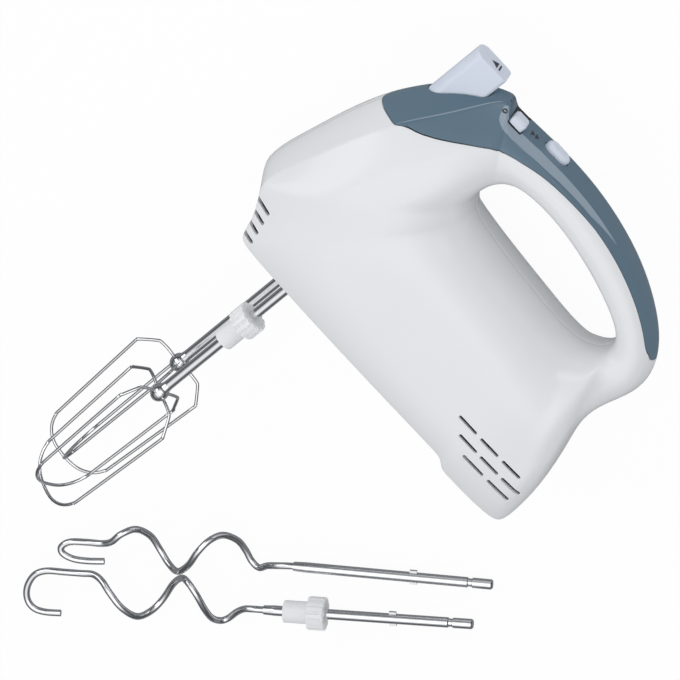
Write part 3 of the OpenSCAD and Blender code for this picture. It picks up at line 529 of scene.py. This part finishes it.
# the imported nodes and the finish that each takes
nodeFinish = {
    "white": ["left_housing", "right_housing"],
    "slate": ["top_cover"],
    "pale": ["eject_button", "speed_slider", "turbo_button"],
    "milk": ["left_beater_collar", "collar_hook_collar"],
    "ivory": ["eject_pusher", "terminal_block", "gear_frame", "left_bush", "right_bush", "left_gear",
              "right_gear", "cooling_fan"],
    "dark": ["speed_switch", "turbo_switch", "cord_bushing"],
    "yellow": ["suppression_capacitor"],
    "carbon": ["carbon_brushes"],
    "chrome": ["left_beater_shaft", "left_beater_outer_loop", "left_beater_inner_loop",
               "right_beater_shaft", "right_beater_outer_loop", "right_beater_inner_loop",
               "plain_hook_shaft", "plain_hook_wire", "collar_hook_shaft", "collar_hook_wire"],
    "steel": ["housing_screws", "left_spindle", "right_spindle", "left_washer", "right_washer",
              "motor_shaft", "front_bearing", "rear_bearing", "front_bracket", "rear_bracket",
              "motor_screws"],
    "spring": ["eject_spring", "turbo_spring", "brush_springs"],
    "brass": ["worm", "brush_holders"],
    "copper": ["armature_winding", "upper_field_coil", "lower_field_coil"],
    "barCopper": ["commutator"],
    "core": ["armature_core", "stator_core"],
}
for key, names in nodeFinish.items():
    for name in names:
        for slot in bpy.data.objects[name].material_slots:
            slot.material = finish[key]
print("finishes", len(finish))

bodyShape = {
    "halfWidth": 46.0,
    "wall": 2.4,
    "crown": 1.55,  # how the top falls away to its crease: 1 is a roof, 2 a dome
    "flare": 0.22,  # fuller sides under the crown's crease
    "flareAt": 30.5,
    "flareReach": 2.5,
    "seam": 0.05,  # half the gap where the two shells meet
    "easing": 0.35,  # rounding along the rims
    "bosses": [(6, 26), (64, 84), (166, 12), (188, 66), (183, 113)],
    "bossRadius": {1: 4.0, -1: 4.6},
    "bossRoot": 1.1,  # how far a boss runs into the wall
    "screwBore": {1: [(1.65, -1), (1.65, 10)], -1: [(1.85, 1), (1.85, -7.9), (3.3, -8), (3.3, -52)]},
    "rearSlots": [(147, 160.5, 26.4), (164, 177.5, 26.4), (181, 194.5, 26.4), (155, 168.5, 18.8),
                  (171.5, 185, 18.8), (188, 201.5, 18.8), (165, 180.5, 11.8), (184, 200, 11.8)],
    "slotRadius": 0.9,
    "slotMouth": 0.35,  # how much wider a rear slot opens at the skin
    "slotSpan": (26, 52),
    "noseSlots": [(-1.5, 19.5), (0.5, 13.4), (2.5, 7.3), (4.5, 1.2)],  # rear end and height
    "noseSlotSize": {"from": -30, "height": 2.3, "width": 26, "middle": 38, "easing": 1.1},
    "spindleHole": {"radius": 6.75, "length": 20, "y": -2},
    "cordHole": {"radius": 6.25, "length": 20, "x": 210, "y": 12},
    "within": 4,  # a height inside the hollow
    "clear": 80,  # beyond the widest place
    "lip": (0.0035, 0.0015),  # along u, where an eased rim starts and is nearly done
}

# where the shells have their rows, closer together at the cover's two ends
rowsAround = (
    spread(0, 18.5, 0.25)
    + [18.5, 18.54, 18.58, 18.6, 18.62, 18.65, 18.68, 18.73, 18.8, 18.88, 18.98, 19.1, 19.25, 19.4]
    + spread(19.55, 20, 0.15)
    + spread(20, 26, 0.25) + spread(26, 30.4, 0.2)
    + [30.4, 30.5, 30.6, 30.7, 30.8, 30.88, 30.95, 31.01, 31.06, 31.1, 31.14, 31.18, 31.22, 31.25, 31.28,
       31.32, 31.4]
    + spread(31.5, 39, 0.25))
outerAcross = (
    spread(0, 0.2, 0.025) + spread(0.2, 0.3, 0.0125) + spread(0.3, 0.5, 0.02) + spread(0.5, 0.58, 0.02)
    + spread(0.58, 0.97, 0.03) + [0.97, 0.985, 0.995])
innerAcross = [1, 0.9, 0.8, 0.7, 0.58, 0.5, 0.4, 0.3, 0.2, 0.1]


def shellRow(t, side):
    rim = edgeAt(t)
    ease, wall = bodyShape["easing"], bodyShape["wall"]
    start, nearly = bodyShape["lip"]
    across = [(rim, ease), (rim + nearly, ease * 0.3)]
    across += [(max(rim + start, u), 0) for u in outerAcross]
    across += [(0.998, ease * 0.3), (1, ease)]
    across += [(max(rim, u), wall) for u in innerAcross + [rim]]
    row = []
    for u, inset in across:
        point = skin(t, u, inset)
        row.append(Vector((point.x, point.y, side * max(point.z, bodyShape["seam"]))))
    return row


def housing(name, side):
    bm = bmesh.new()
    loft(bm, [shellRow(t, side) for t in rowsAround], ring=True)
    tidy(bm)
    tree = BVHTree.FromBMesh(bm)
    obj = toObject(name, bm)

    def faceAt(x, y):
        return tree.ray_cast(Vector((x, y, side * bodyShape["clear"])), Vector((0, 0, -side)))[0].z

    def bossEndAt(x, y):
        lining = tree.ray_cast(Vector((x, y, side * bodyShape["within"])), Vector((0, 0, side)))[0].z
        return lining + side * bodyShape["bossRoot"]

    bosses = bmesh.new()
    radius = bodyShape["bossRadius"][side]
    for x, y in bodyShape["bosses"]:
        capsule(bosses, x - radius, x + radius, y, [
            (radius, side * bodyShape["seam"]), (radius, bossEndAt)])
    closeEnds(bosses)
    tidy(bosses)
    combine(obj, toObject("bosses", bosses), "UNION")

    bore = bmesh.new()
    steps = bodyShape["screwBore"][side]
    for x, y in bodyShape["bosses"]:
        capsule(bore, x - steps[0][0], x + steps[0][0], y, steps)
    closeEnds(bore)
    tidy(bore)
    combine(obj, toObject("screwHoles", bore), "DIFFERENCE")

    # vents with eased mouths, the spindle's hole and the cord's
    cut = bmesh.new()
    slot = bodyShape["slotRadius"]
    mouth = slot + bodyShape["slotMouth"]
    near, far = bodyShape["slotSpan"]
    for x0, x1, y in bodyShape["rearSlots"]:
        capsule(cut, x0, x1, y, [
            (slot, side * near), (slot, lambda px, py: faceAt(px, py) - side * 0.4),
            (mouth, lambda px, py: faceAt(px, py) + side * 0.02), (mouth, side * far)])
    closeEnds(cut)
    hole = bodyShape["spindleHole"]
    rod(cut, hole["radius"], hole["length"], (spindleX, hole["y"], side * spindleZ))
    hole = bodyShape["cordHole"]
    rod(cut, hole["radius"], hole["length"], (hole["x"], hole["y"], 0), alongX)
    slit = bodyShape["noseSlotSize"]
    for x1, y in bodyShape["noseSlots"]:
        bar = bmesh.ops.create_cube(cut, size=1, matrix=Matrix.Translation(
            ((x1 + slit["from"]) / 2, y, side * slit["middle"])) @ Matrix.Diagonal(
                (x1 - slit["from"], slit["height"], slit["width"], 1)))
        ends = {e for v in bar["verts"] for e in v.link_edges
                if abs(e.verts[0].co.z - e.verts[1].co.z) > 5 and e.verts[0].co.x > slit["from"] + 10}
        easeEdges(cut, list(ends), slit["easing"], 5)
    bmesh.ops.recalc_face_normals(cut, faces=cut.faces)
    combine(obj, toObject("openings", cut), "DIFFERENCE")
    place(obj, "mixer_body", [name.replace("Shell", "_housing")], "white", 32)


for side, name in ((1, "leftShell"), (-1, "rightShell")):
    housing(name, side)


coverShape = {
    "gap": 0.004,  # along the skin, to the white shells
    "easing": 0.45,
    "look": (-0.022, 0, 0.012),  # along t: the narrowest edge at these steps holds
    "least": 0.0045,
    "eject": [(12, 0, 7.7), (25.5, 5.1, 2.5), (25.5, -5.1, 2.5)],
    "turbo": [(73.3, 0, 4.8), (79.7, 0, 4.8)],
    "sliderSlot": [(49.2, 7.9, 1.9), (49.2, -7.9, 1.9)],
    "sliderTrack": [(45.6, 10.1, 1.5), (52.8, 10.1, 1.5), (45.6, -10.1, 1.5), (52.8, -10.1, 1.5)],
    "openings": [("eject", 100, 170, 0.5), ("turbo", 146, 160, 0.5), ("sliderSlot", 144, 160, 0),
                 ("sliderTrack", 150.5, 160, 0)],  # plan, foot, top and room left around
    "trackShade": {"x": 49.2, "half": 5.25, "reach": 12.0, "above": 140},
    # the two painted highlight lines, along the bevel and the crease: t, and where the line begins and ends
    # in u
    "bevel": [(21.9, 0.2, 0.2), (22.7, 0.204, 0.265), (23.3, 0.207, 0.27), (24, 0.207, 0.28),
              (24.9, 0.205, 0.29), (25.5, 0.203, 0.295), (26.5, 0.2, 0.31), (27.4, 0.2, 0.345),
              (28.2, 0.235, 0.365), (28.6, 0.28, 0.355), (28.86, 0.33, 0.335)],
    "crease": [(28.75, 0.196, 0.2), (29, 0.194, 0.212), (30, 0.195, 0.210), (30.8, 0.196, 0.208),
               (31.06, 0.198, 0.2)],
    "creaseFrom": {"t": 28.6, "u": 0.22},  # the crease lies past this t and below this u
    "marks": {"t": (21.6, 0.04, 240), "u": (0.15, 0.0025, 90)},  # start, step and count
    "markReach": 1.3,
    "noLine": -0.1,
    "noTrack": -9,
}
coverRows = (
    [18.605, 18.61, 18.617, 18.625, 18.635, 18.65, 18.67, 18.7, 18.74, 18.8, 18.88, 18.98, 19.1, 19.25, 19.4]
    + spread(19.55, 20, 0.15)
    + spread(20, 26, 0.25) + spread(26, 30.4, 0.2)
    + [30.4, 30.5, 30.6, 30.7, 30.8, 30.88, 30.95, 31.01, 31.05, 31.09, 31.13, 31.17, 31.2, 31.225, 31.245,
       31.257, 31.265])
coverAcross = (
    spread(0, 0.175, 0.025) + spread(0.175, 0.22, 0.005) + spread(0.22, 0.38, 0.0075)
    + spread(0.38, 0.48, 0.02))


def coverRow(t):
    edge = min(edgeAt(t + step) for step in coverShape["look"])
    rim = max(edge - coverShape["gap"], coverShape["least"])
    start, nearly = bodyShape["lip"]
    ease, wall = coverShape["easing"], bodyShape["wall"]
    closing = t in (coverRows[0], coverRows[-1])
    across = [(min(u, rim - start), 0) for u in coverAcross] + [(rim - nearly, ease * 0.3), (rim, ease)]
    outer = [skin(t, u, wall / 2 if closing else inset) for u, inset in across]
    inner = [skin(t, u, wall / 2 if closing else wall) for u, inset in reversed(across)]
    half = outer + inner
    return half + [Vector((p.x, p.y, -p.z)) for p in reversed(half)]


bm = bmesh.new()
loft(bm, [coverRow(t) for t in coverRows])
tidy(bm)
cover = toObject("blueCover", bm)
for plan, y0, y1, gap in coverShape["openings"]:
    bm = bmesh.new()
    hullOf(bm, coverShape[plan], y0, y1, gap)
    combine(cover, toObject("opening", bm), "DIFFERENCE")

# marks on the skin, by which each of the cover's points finds its t and u
(t0, tStep, tCount), (u0, uStep, uCount) = coverShape["marks"]["t"], coverShape["marks"]["u"]
places = [(t0 + i * tStep, u0 + j * uStep) for i in range(tCount) for j in range(uCount)]
marks = KDTree(len(places))
for k, (t, u) in enumerate(places):
    marks.insert(skin(t, u), k)
marks.balance()


def highlightLineDepth(x, y, z):
    # how far inside the painted highlight line on the bevel or the crease a point lies, along u
    _, nearest, apart = marks.find((x, y, abs(z)))
    t, u = places[nearest]
    start = coverShape["creaseFrom"]
    rows = coverShape["bevel" if u > start["u"] or t < start["t"] else "crease"]
    if apart > coverShape["markReach"] or not rows[0][0] < t < rows[-1][0]:
        return coverShape["noLine"]
    k = max(i for i, row in enumerate(rows) if row[0] <= t)
    f = (t - rows[k][0]) / (rows[k + 1][0] - rows[k][0])
    low, high = (rows[k][c] + (rows[k + 1][c] - rows[k][c]) * f for c in (1, 2))
    return min(u - low, high - u)


def trackDepth(x, y, z):
    # how far inside the knob's track a point lies: the mask for the painted shade there
    track = coverShape["trackShade"]
    if y <= track["above"]:
        return coverShape["noTrack"]
    return min(track["half"] - abs(x - track["x"]), track["reach"] - abs(z))


# masks for the painted highlight lines and for the painted shade in the knob's track
for name, depthAt in (("bevelDepth", highlightLineDepth), ("trackDepth", trackDepth)):
    depths = cover.data.attributes.new(name, "FLOAT", "POINT")
    for vert in cover.data.vertices:
        depths.data[vert.index].value = depthAt(*vert.co)
place(cover, "mixer_body", ["top_cover"], "slate", 22)


ejectShape = {
    "top": 162.9,
    "bottom": 100.0,
    "edge": 2.4,
    "wall": 2.2,
    "hollowTo": 158.4,
    "plan": [(12.2, 0, 7.85), (25.5, 4.95, 2.45), (25.5, -4.95, 2.45)],
    "flat": 7.35,  # where the flat sides cut the round front
    "wedge": [(19.5, -3.2), (14.8, 0), (19.5, 3.2)],
    "bar": [(20.6, -3.2), (21.7, -3.2), (21.7, 3.2), (20.6, 3.2)],
}
bm = bmesh.new()
hullOf(bm, ejectShape["plan"], ejectShape["bottom"], ejectShape["top"], sides=60)
for side in (1, -1):
    bmesh.ops.bisect_plane(
        bm, geom=[*bm.verts, *bm.edges, *bm.faces], plane_co=(0, 0, side * ejectShape["flat"]),
        plane_no=(0, 0, side), clear_outer=True)
    closeEnds(bm)
easeTop(bm, ejectShape["top"], ejectShape["edge"], 10)
tidy(bm)
button = toObject("ejectButton", bm)
bm = bmesh.new()
hullOf(bm, coverShape["eject"], ejectShape["bottom"] - 1, ejectShape["hollowTo"], -ejectShape["wall"])
combine(button, toObject("hollow", bm), "DIFFERENCE")
place(button, "eject_control", ["eject_button"], "pale", 13)


signShape = {
    "above": 175,  # over every surface that takes a sign
    "ink": 0.05,
    "figures": "012345",
    "from": 10.0,
    "to": -10.0,
    "row": 39.4,
    "size": 4.0,
    "weight": 0.18,
    "boost": [[(58.4, -1.2), (61.0, 1.9), (58.4, 5.0)], [(61.4, -1.2), (64.0, 1.9), (61.4, 5.0)]],
}


def surfaceTree(obj):
    # a placed object's skin in the mixer's own millimetres
    points = [v.co * 1000 - originShift for v in obj.data.vertices]
    return BVHTree.FromPolygons(points, [p.vertices for p in obj.data.polygons])


def outlineFace(bm, corners, steps=4):
    # a flat face, each side of it cut into steps so that it can follow a surface
    ring = []
    for (x0, z0), (x1, z1) in zip(corners, corners[1:] + corners[:1]):
        for k in range(steps):
            ring.append(bm.verts.new((x0 + (x1 - x0) * k / steps, 0, z0 + (z1 - z0) * k / steps)))
    bm.faces.new(ring)


def figureFace(bm, text, x, z):
    # a numeral lying across the handle, its head towards the nose
    curve = bpy.data.curves.new("numeral", "FONT")
    curve.body = text
    curve.size = signShape["size"]
    curve.offset = signShape["weight"]
    curve.align_x = "CENTER"
    curve.align_y = "CENTER"
    holder = bpy.data.objects.new("numeral", curve)
    bpy.context.scene.collection.objects.link(holder)
    flat = meshOf(holder)
    bpy.data.objects.remove(holder)
    lying = Matrix(((0, -1, 0, 0), (0, 0, 1, 0), (-1, 0, 0, 0), (0, 0, 0, 1)))
    flat.transform(Matrix.Translation((x, 0, z)) @ lying)
    bm.from_mesh(flat)


def stamp(name, bm, under, body):
    # ink on a surface: the faces are thickened a little and dropped onto it along y
    tree = surfaceTree(under)
    depth = signShape["ink"]
    bmesh.ops.triangulate(bm, faces=bm.faces)
    made = bmesh.ops.extrude_face_region(bm, geom=bm.faces[:])
    upper = {v for v in made["geom"] if isinstance(v, bmesh.types.BMVert)}
    for vert in bm.verts:
        found = tree.ray_cast(Vector((vert.co.x, signShape["above"], vert.co.z)), Vector((0, -1, 0)))[0]
        vert.co.y = found.y + (depth if vert in upper else -depth)
    bmesh.ops.recalc_face_normals(bm, faces=bm.faces)
    place(toObject(name, bm), body, [], "print", 40)


bm = bmesh.new()
outlineFace(bm, ejectShape["wedge"])
outlineFace(bm, ejectShape["bar"])
stamp("ejectSign", bm, button, "eject_control")

bm = bmesh.new()
first, last, figures = signShape["from"], signShape["to"], signShape["figures"]
for k, text in enumerate(figures):
    figureFace(bm, text, signShape["row"], first + (last - first) * k / (len(figures) - 1))
stamp("speedScale", bm, cover, "mixer_body")
bm = bmesh.new()
for corners in signShape["boost"]:
    outlineFace(bm, corners)
stamp("boostSign", bm, cover, "mixer_body")


turboShape = {
    "top": 156.8,
    "bottom": 148.5,
    "edge": 2.6,
    "skirt": (coverShape["turbo"], 147.4, 149, 1.6),  # plan, foot, top and how far it stands out
    "stem": ([(76.5, 0, 2.4)], 143.6, 148, 0),
}
bm = bmesh.new()
hullOf(bm, coverShape["turbo"], turboShape["bottom"], turboShape["top"])
easeTop(bm, turboShape["top"], turboShape["edge"], 7)
turbo = toObject("turboButton", bm)
for part in ("skirt", "stem"):
    bm = bmesh.new()
    hullOf(bm, *turboShape[part])
    combine(turbo, toObject(part, bm), "UNION")
place(turbo, "turbo_control", ["turbo_button"], "pale", 40)


# each block of the knob: half width to its corner rounds, their radius, foot and top, eased edge
sliderShape = {
    "blocks": [(3.1, 1.5, 150.8, 155.2, 0.7), (2.8, 1.0, 155.1, 155.9, 0.35),
               (0.9, 0.6, 141.2, 152, 0), (2.6, 0.4, 146, 148, 0)],
}
low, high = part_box("speed_slider")
sliderX = (low.x + high.x) * 500 - originShift.x
sliderZ = (low.z + high.z) * 500 - originShift.z
knob = None
for half, corner, y0, y1, edge in sliderShape["blocks"]:
    bm = bmesh.new()
    corners = [(sliderX + i * half, sliderZ + j * half, corner) for i in (-1, 1) for j in (-1, 1)]
    hullOf(bm, corners, y0, y1, sides=24)
    if edge:
        easeTop(bm, y1, edge, 4)
    block = toObject("speedKnob", bm)
    if knob:
        combine(knob, block, "UNION")
    else:
        knob = block
place(knob, "speed_control", ["speed_slider"], "pale", 40)


def wire(name, points, radius, steps, sides=4):
    # round wire on a smooth line through the points
    line = []
    for k in range(len(points) - 1):
        a, b, c, d = (Vector(points[min(max(k + s, 0), len(points) - 1)]) for s in (-1, 0, 1, 2))
        for step in range(steps):
            f = step / steps
            line.append(b + (c - a) * f / 2 + (2 * a - 5 * b + 4 * c - d) * f * f / 2
                        + (3 * b - a - 3 * c + d) * f ** 3 / 2)
    line.append(Vector(points[-1]))
    curve = bpy.data.curves.new(name, "CURVE")
    curve.dimensions = "3D"
    curve.bevel_depth = radius
    curve.bevel_resolution = sides
    curve.use_fill_caps = True
    spline = curve.splines.new("POLY")
    spline.points.add(len(line) - 1)
    for point, co in zip(spline.points, line):
        point.co = (*co, 1)
    thread = bpy.data.objects.new(name + "Line", curve)
    bpy.context.scene.collection.objects.link(thread)
    bm = bmesh.new()
    bm.from_mesh(meshOf(thread))
    bpy.data.objects.remove(thread)
    tidy(bm)
    return toObject(name, bm)


beaterShape = {
    "hubY": -108.5,
    "wire": 0.9,
    "outer": (24.0, 90.5),  # greatest radius and depth below the hub
    "inner": (22.5, 87.9),
    "turns": {"left": (41, -49), "right": (4, 94)},
    "shoulder": [(3.6, 0), (9, 0.4), (14.5, 0), (16.6, -1.2)],
    "corner": [(-1.4, -8), (0, -10.5), (0, -15)],  # out from the greatest radius
    "drawnIn": 3,  # how much narrower the bend starts
    "bend": 18,  # height of the rounded bottom
}


def loopLine(radius, bottom, turn, z):
    # one loop from the hub's one side to its other, through the bottom
    half = beaterShape["shoulder"] + [(radius + out, y) for out, y in beaterShape["corner"]]
    inner, height = radius - beaterShape["drawnIn"], beaterShape["bend"]
    for angle in range(0, 76, 15):
        a = math.radians(angle)
        half.append((inner * math.cos(a) ** 0.8, height - bottom - height * math.sin(a)))
    whole = half + [(0, -bottom)] + [(-r, y) for r, y in reversed(half)]
    turn = math.radians(turn)
    top = beaterShape["hubY"]
    return [(spindleX + r * math.cos(turn), top + y, z + r * math.sin(turn)) for r, y in whole]


for side, z in (("left", spindleZ), ("right", -spindleZ)):
    for layer, turn in zip(("outer", "inner"), beaterShape["turns"][side]):
        radius, bottom = beaterShape[layer]
        loop = wire(side + layer.title() + "Loop", loopLine(radius, bottom, turn, z), beaterShape["wire"], 5)
        place(loop, side + "_beater", [f"{side}_beater_{layer}_loop"], "chrome", 60)


def laid(x, y, height, heading, tilt):
    # a hook's own place: its tip at x, y and height above the floor, heading away from there
    return (Matrix.Translation((x, y, height - bodyShape["halfWidth"]))
            @ Matrix.Rotation(math.radians(heading), 4, "Z")
            @ Matrix.Rotation(math.radians(-tilt), 4, "Y"))


hookShape = {
    "wire": 1.9,
    "plain": {"x": 245, "y": -71.7, "height": 2.88, "heading": -134.9, "tilt": 3.4},
    "collar": {"x": 254.4, "y": -94.2, "height": 8.26, "heading": -132.2, "tilt": 0.75},
}
hookPlace = {kind: laid(**hookShape[kind]) for kind in ("plain", "collar")}
for kind, path in (("plain", plainHookPath), ("collar", collarHookPath)):
    points = [hookPlace[kind] @ Vector(p) for p in path]
    hook = wire(kind + "HookWire", points, hookShape["wire"], 6, 5)
    place(hook, kind + "_hook", [kind + "_hook_wire"], "chrome", 60)


collarShape = {
    "outer": 9.3,
    "notch": 1.35,
    "teeth": 14,
    "stepsPerTooth": 12,
    "flange": 9.6,
    "barrel": 13.8,
    "barrelRadius": 6.2,
    "bore": 2.87,
    "onBeater": -45.2,
    "onHook": 92.2,  # from the hook's tip
}


def collarRow(radius, height, depth):
    row = []
    count = collarShape["teeth"] * collarShape["stepsPerTooth"]
    for k in range(count):
        turn = k * 2 * math.pi / count
        wave = max(0.0, math.cos(turn * collarShape["teeth"])) ** 0.7
        r = radius - depth * wave
        row.append(Vector((r * math.cos(turn), r * math.sin(turn), height)))
    return row


def collar(name, matrix):
    keys = ("outer", "notch", "flange", "barrel", "barrelRadius", "bore")
    outer, notch, flange, barrel, neck, bore = (collarShape[key] for key in keys)
    # radius, height and depth of the notches, once round the wall
    profile = [
        (bore, -barrel, 0), (neck - 0.6, -barrel, 0), (neck - 0.15, -barrel + 0.2, 0),
        (neck, -barrel + 0.7, 0), (neck, -0.5, 0), (neck + 0.4, 0, 0),
        (outer - 0.5, 0, notch), (outer - 0.12, 0.15, notch), (outer, 0.5, notch),
        (outer, flange - 0.8, notch), (outer - 0.2, flange - 0.25, notch), (outer - 0.8, flange, notch),
        (bore + 1.6, flange, 0), (bore + 1.2, flange - 0.3, 0), (bore, flange - 0.3, 0)]
    bm = bmesh.new()
    loft(bm, [collarRow(*row) for row in profile], ring=True)
    bmesh.ops.transform(bm, matrix=matrix, verts=bm.verts)
    tidy(bm)
    return toObject(name, bm)


onBeater = Matrix.Translation((spindleX, collarShape["onBeater"], spindleZ)) @ alongY.inverted()
onHook = hookPlace["collar"] @ Matrix.Translation((collarShape["onHook"], 0, 0)) @ alongX.inverted()
place(collar("beaterCollar", onBeater), "left_beater", ["left_beater_collar"], "milk", 40)
place(collar("hookCollar", onHook), "collar_hook", ["collar_hook_collar"], "milk", 40)

# camera: far off, with a long lens, looking down on the mixer's left side
view = {
    "distance": 10.0,
    "width": 0.3672,
    "axes": [(0.9890, 0, 0.1478), (0.0646, 0.8996, -0.4320)],  # level and climbing, across the view
    "toRight": (0.63, 0.776),  # share of each axis in the view's right
    "middle": (79.84, -10.63),  # along the two axes, in the mixer's millimetres
    "sensor": 36,
}
level, climb = (Vector(axis) for axis in view["axes"])
toward = level.cross(climb).normalized()
right = (view["toRight"][0] * level + view["toRight"][1] * climb).normalized()
up = toward.cross(right)
middle = level * view["middle"][0] + climb * view["middle"][1]
camera = bpy.data.objects.new("Camera", bpy.data.cameras.new("Camera"))
camera.data.sensor_width = view["sensor"]
camera.data.lens = view["sensor"] * view["distance"] / view["width"]
camera.data.clip_start = 0.1
camera.data.clip_end = 60
camera.matrix_world = Matrix.Translation(at(*middle) + toward * view["distance"]) @ Matrix(
    (right, up, toward)).transposed().to_4x4()
bpy.context.scene.collection.objects.link(camera)
bpy.context.scene.camera = camera

# floor: white, with the object's soft shadow
floorShape = {
    "radius": 3.0,
    "below": 0.0006,
    "seenAs": ((1, 1, 1, 1), 0.95),  # glow and its share, for the camera
    "mirroredAs": ((0.16, 0.165, 0.175, 1), 0.9),  # and for mirrors
}
bm = bmesh.new()
bmesh.ops.create_circle(bm, cap_ends=True, segments=96, radius=floorShape["radius"])
floor = toObject("floor", bm)
floor.data.transform(Matrix.Translation((0, 0, -floorShape["below"])))
shade = Shade(bpy.data.materials.new("paleFloor"))
shade.surface.inputs["Base Color"].default_value = (0.93, 0.93, 0.93, 1)
shade.surface.inputs["Roughness"].default_value = 0.9
shade.surface.inputs["Specular IOR Level"].default_value = 0.0
rays = shade.add("ShaderNodeLightPath")
surface = Wire(shade, shade.surface.outputs[0])
for ray, key in (("Is Camera Ray", "seenAs"), ("Is Glossy Ray", "mirroredAs")):
    colour, share = floorShape[key]
    glow = shade.wire(shade.add("ShaderNodeEmission", None, {"Color": colour, "Strength": 1.0}))
    surface = shade.blend(shade.wire(rays, ray) * share, surface, glow)
shade.feed(shade.tree.nodes["Material Output"].inputs["Surface"], surface)
floor.data.materials.append(shade.owner)
floor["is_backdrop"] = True

# studio: even pale surroundings; mirrors see darker sides and a bright ceiling
world = bpy.data.worlds.new("studio")
bpy.context.scene.world = world
shade = Shade(world)
direction = shade.wire(shade.add("ShaderNodeTexCoord"), "Generated")
height = shade.wire(shade.add("ShaderNodeSeparateXYZ", None, {0: direction}), 2)
even = shade.steps(height, [
    (0.0, (0.58, 0.585, 0.59)), (0.12, (0.58, 0.585, 0.59)), (0.45, (0.65, 0.655, 0.665)),
    (1.0, (0.73, 0.735, 0.75))])
contrast = shade.steps(height, [
    (0.0, (0.06, 0.063, 0.066)), (0.35, (0.10, 0.105, 0.11)), (0.62, (0.30, 0.31, 0.33)),
    (0.86, (1.0, 1.0, 1.0))])
rays = shade.add("ShaderNodeLightPath")
mirrored = shade.tint(shade.wire(rays, "Is Glossy Ray"), even, contrast)
seen = shade.tint(shade.wire(rays, "Is Camera Ray"), mirrored, (1, 1, 1))
shade.feed(shade.tree.nodes["Background"].inputs["Color"], seen)

# three soft lamps, turned to the middle of the set
lamps = {
    "overhead": {"at": (0.05, 0.1, 1.5), "size": (1.2, 1.2), "power": 3.2},
    "left": {"at": (-1.3, -0.1, 0.95), "size": (0.9, 0.9), "power": 3.6},
    "behind": {"at": (-0.3, 1.4, 0.55), "size": (1.1, 0.35), "power": 2.2},
}
for name, lamp in lamps.items():
    light = bpy.data.lights.new(name, "AREA")
    light.energy = lamp["power"]
    light.shape = "RECTANGLE"
    light.size, light.size_y = lamp["size"]
    obj = bpy.data.objects.new(name, light)
    obj.location = lamp["at"]
    obj.rotation_euler = (Vector((0, 0, 0.03)) - obj.location).to_track_quat("-Z", "Y").to_euler()
    bpy.context.scene.collection.objects.link(obj)

bpy.context.scene.view_settings.view_transform = "Standard"
low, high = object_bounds()
print("visual box", [round(v, 4) for v in (*low, *high)])
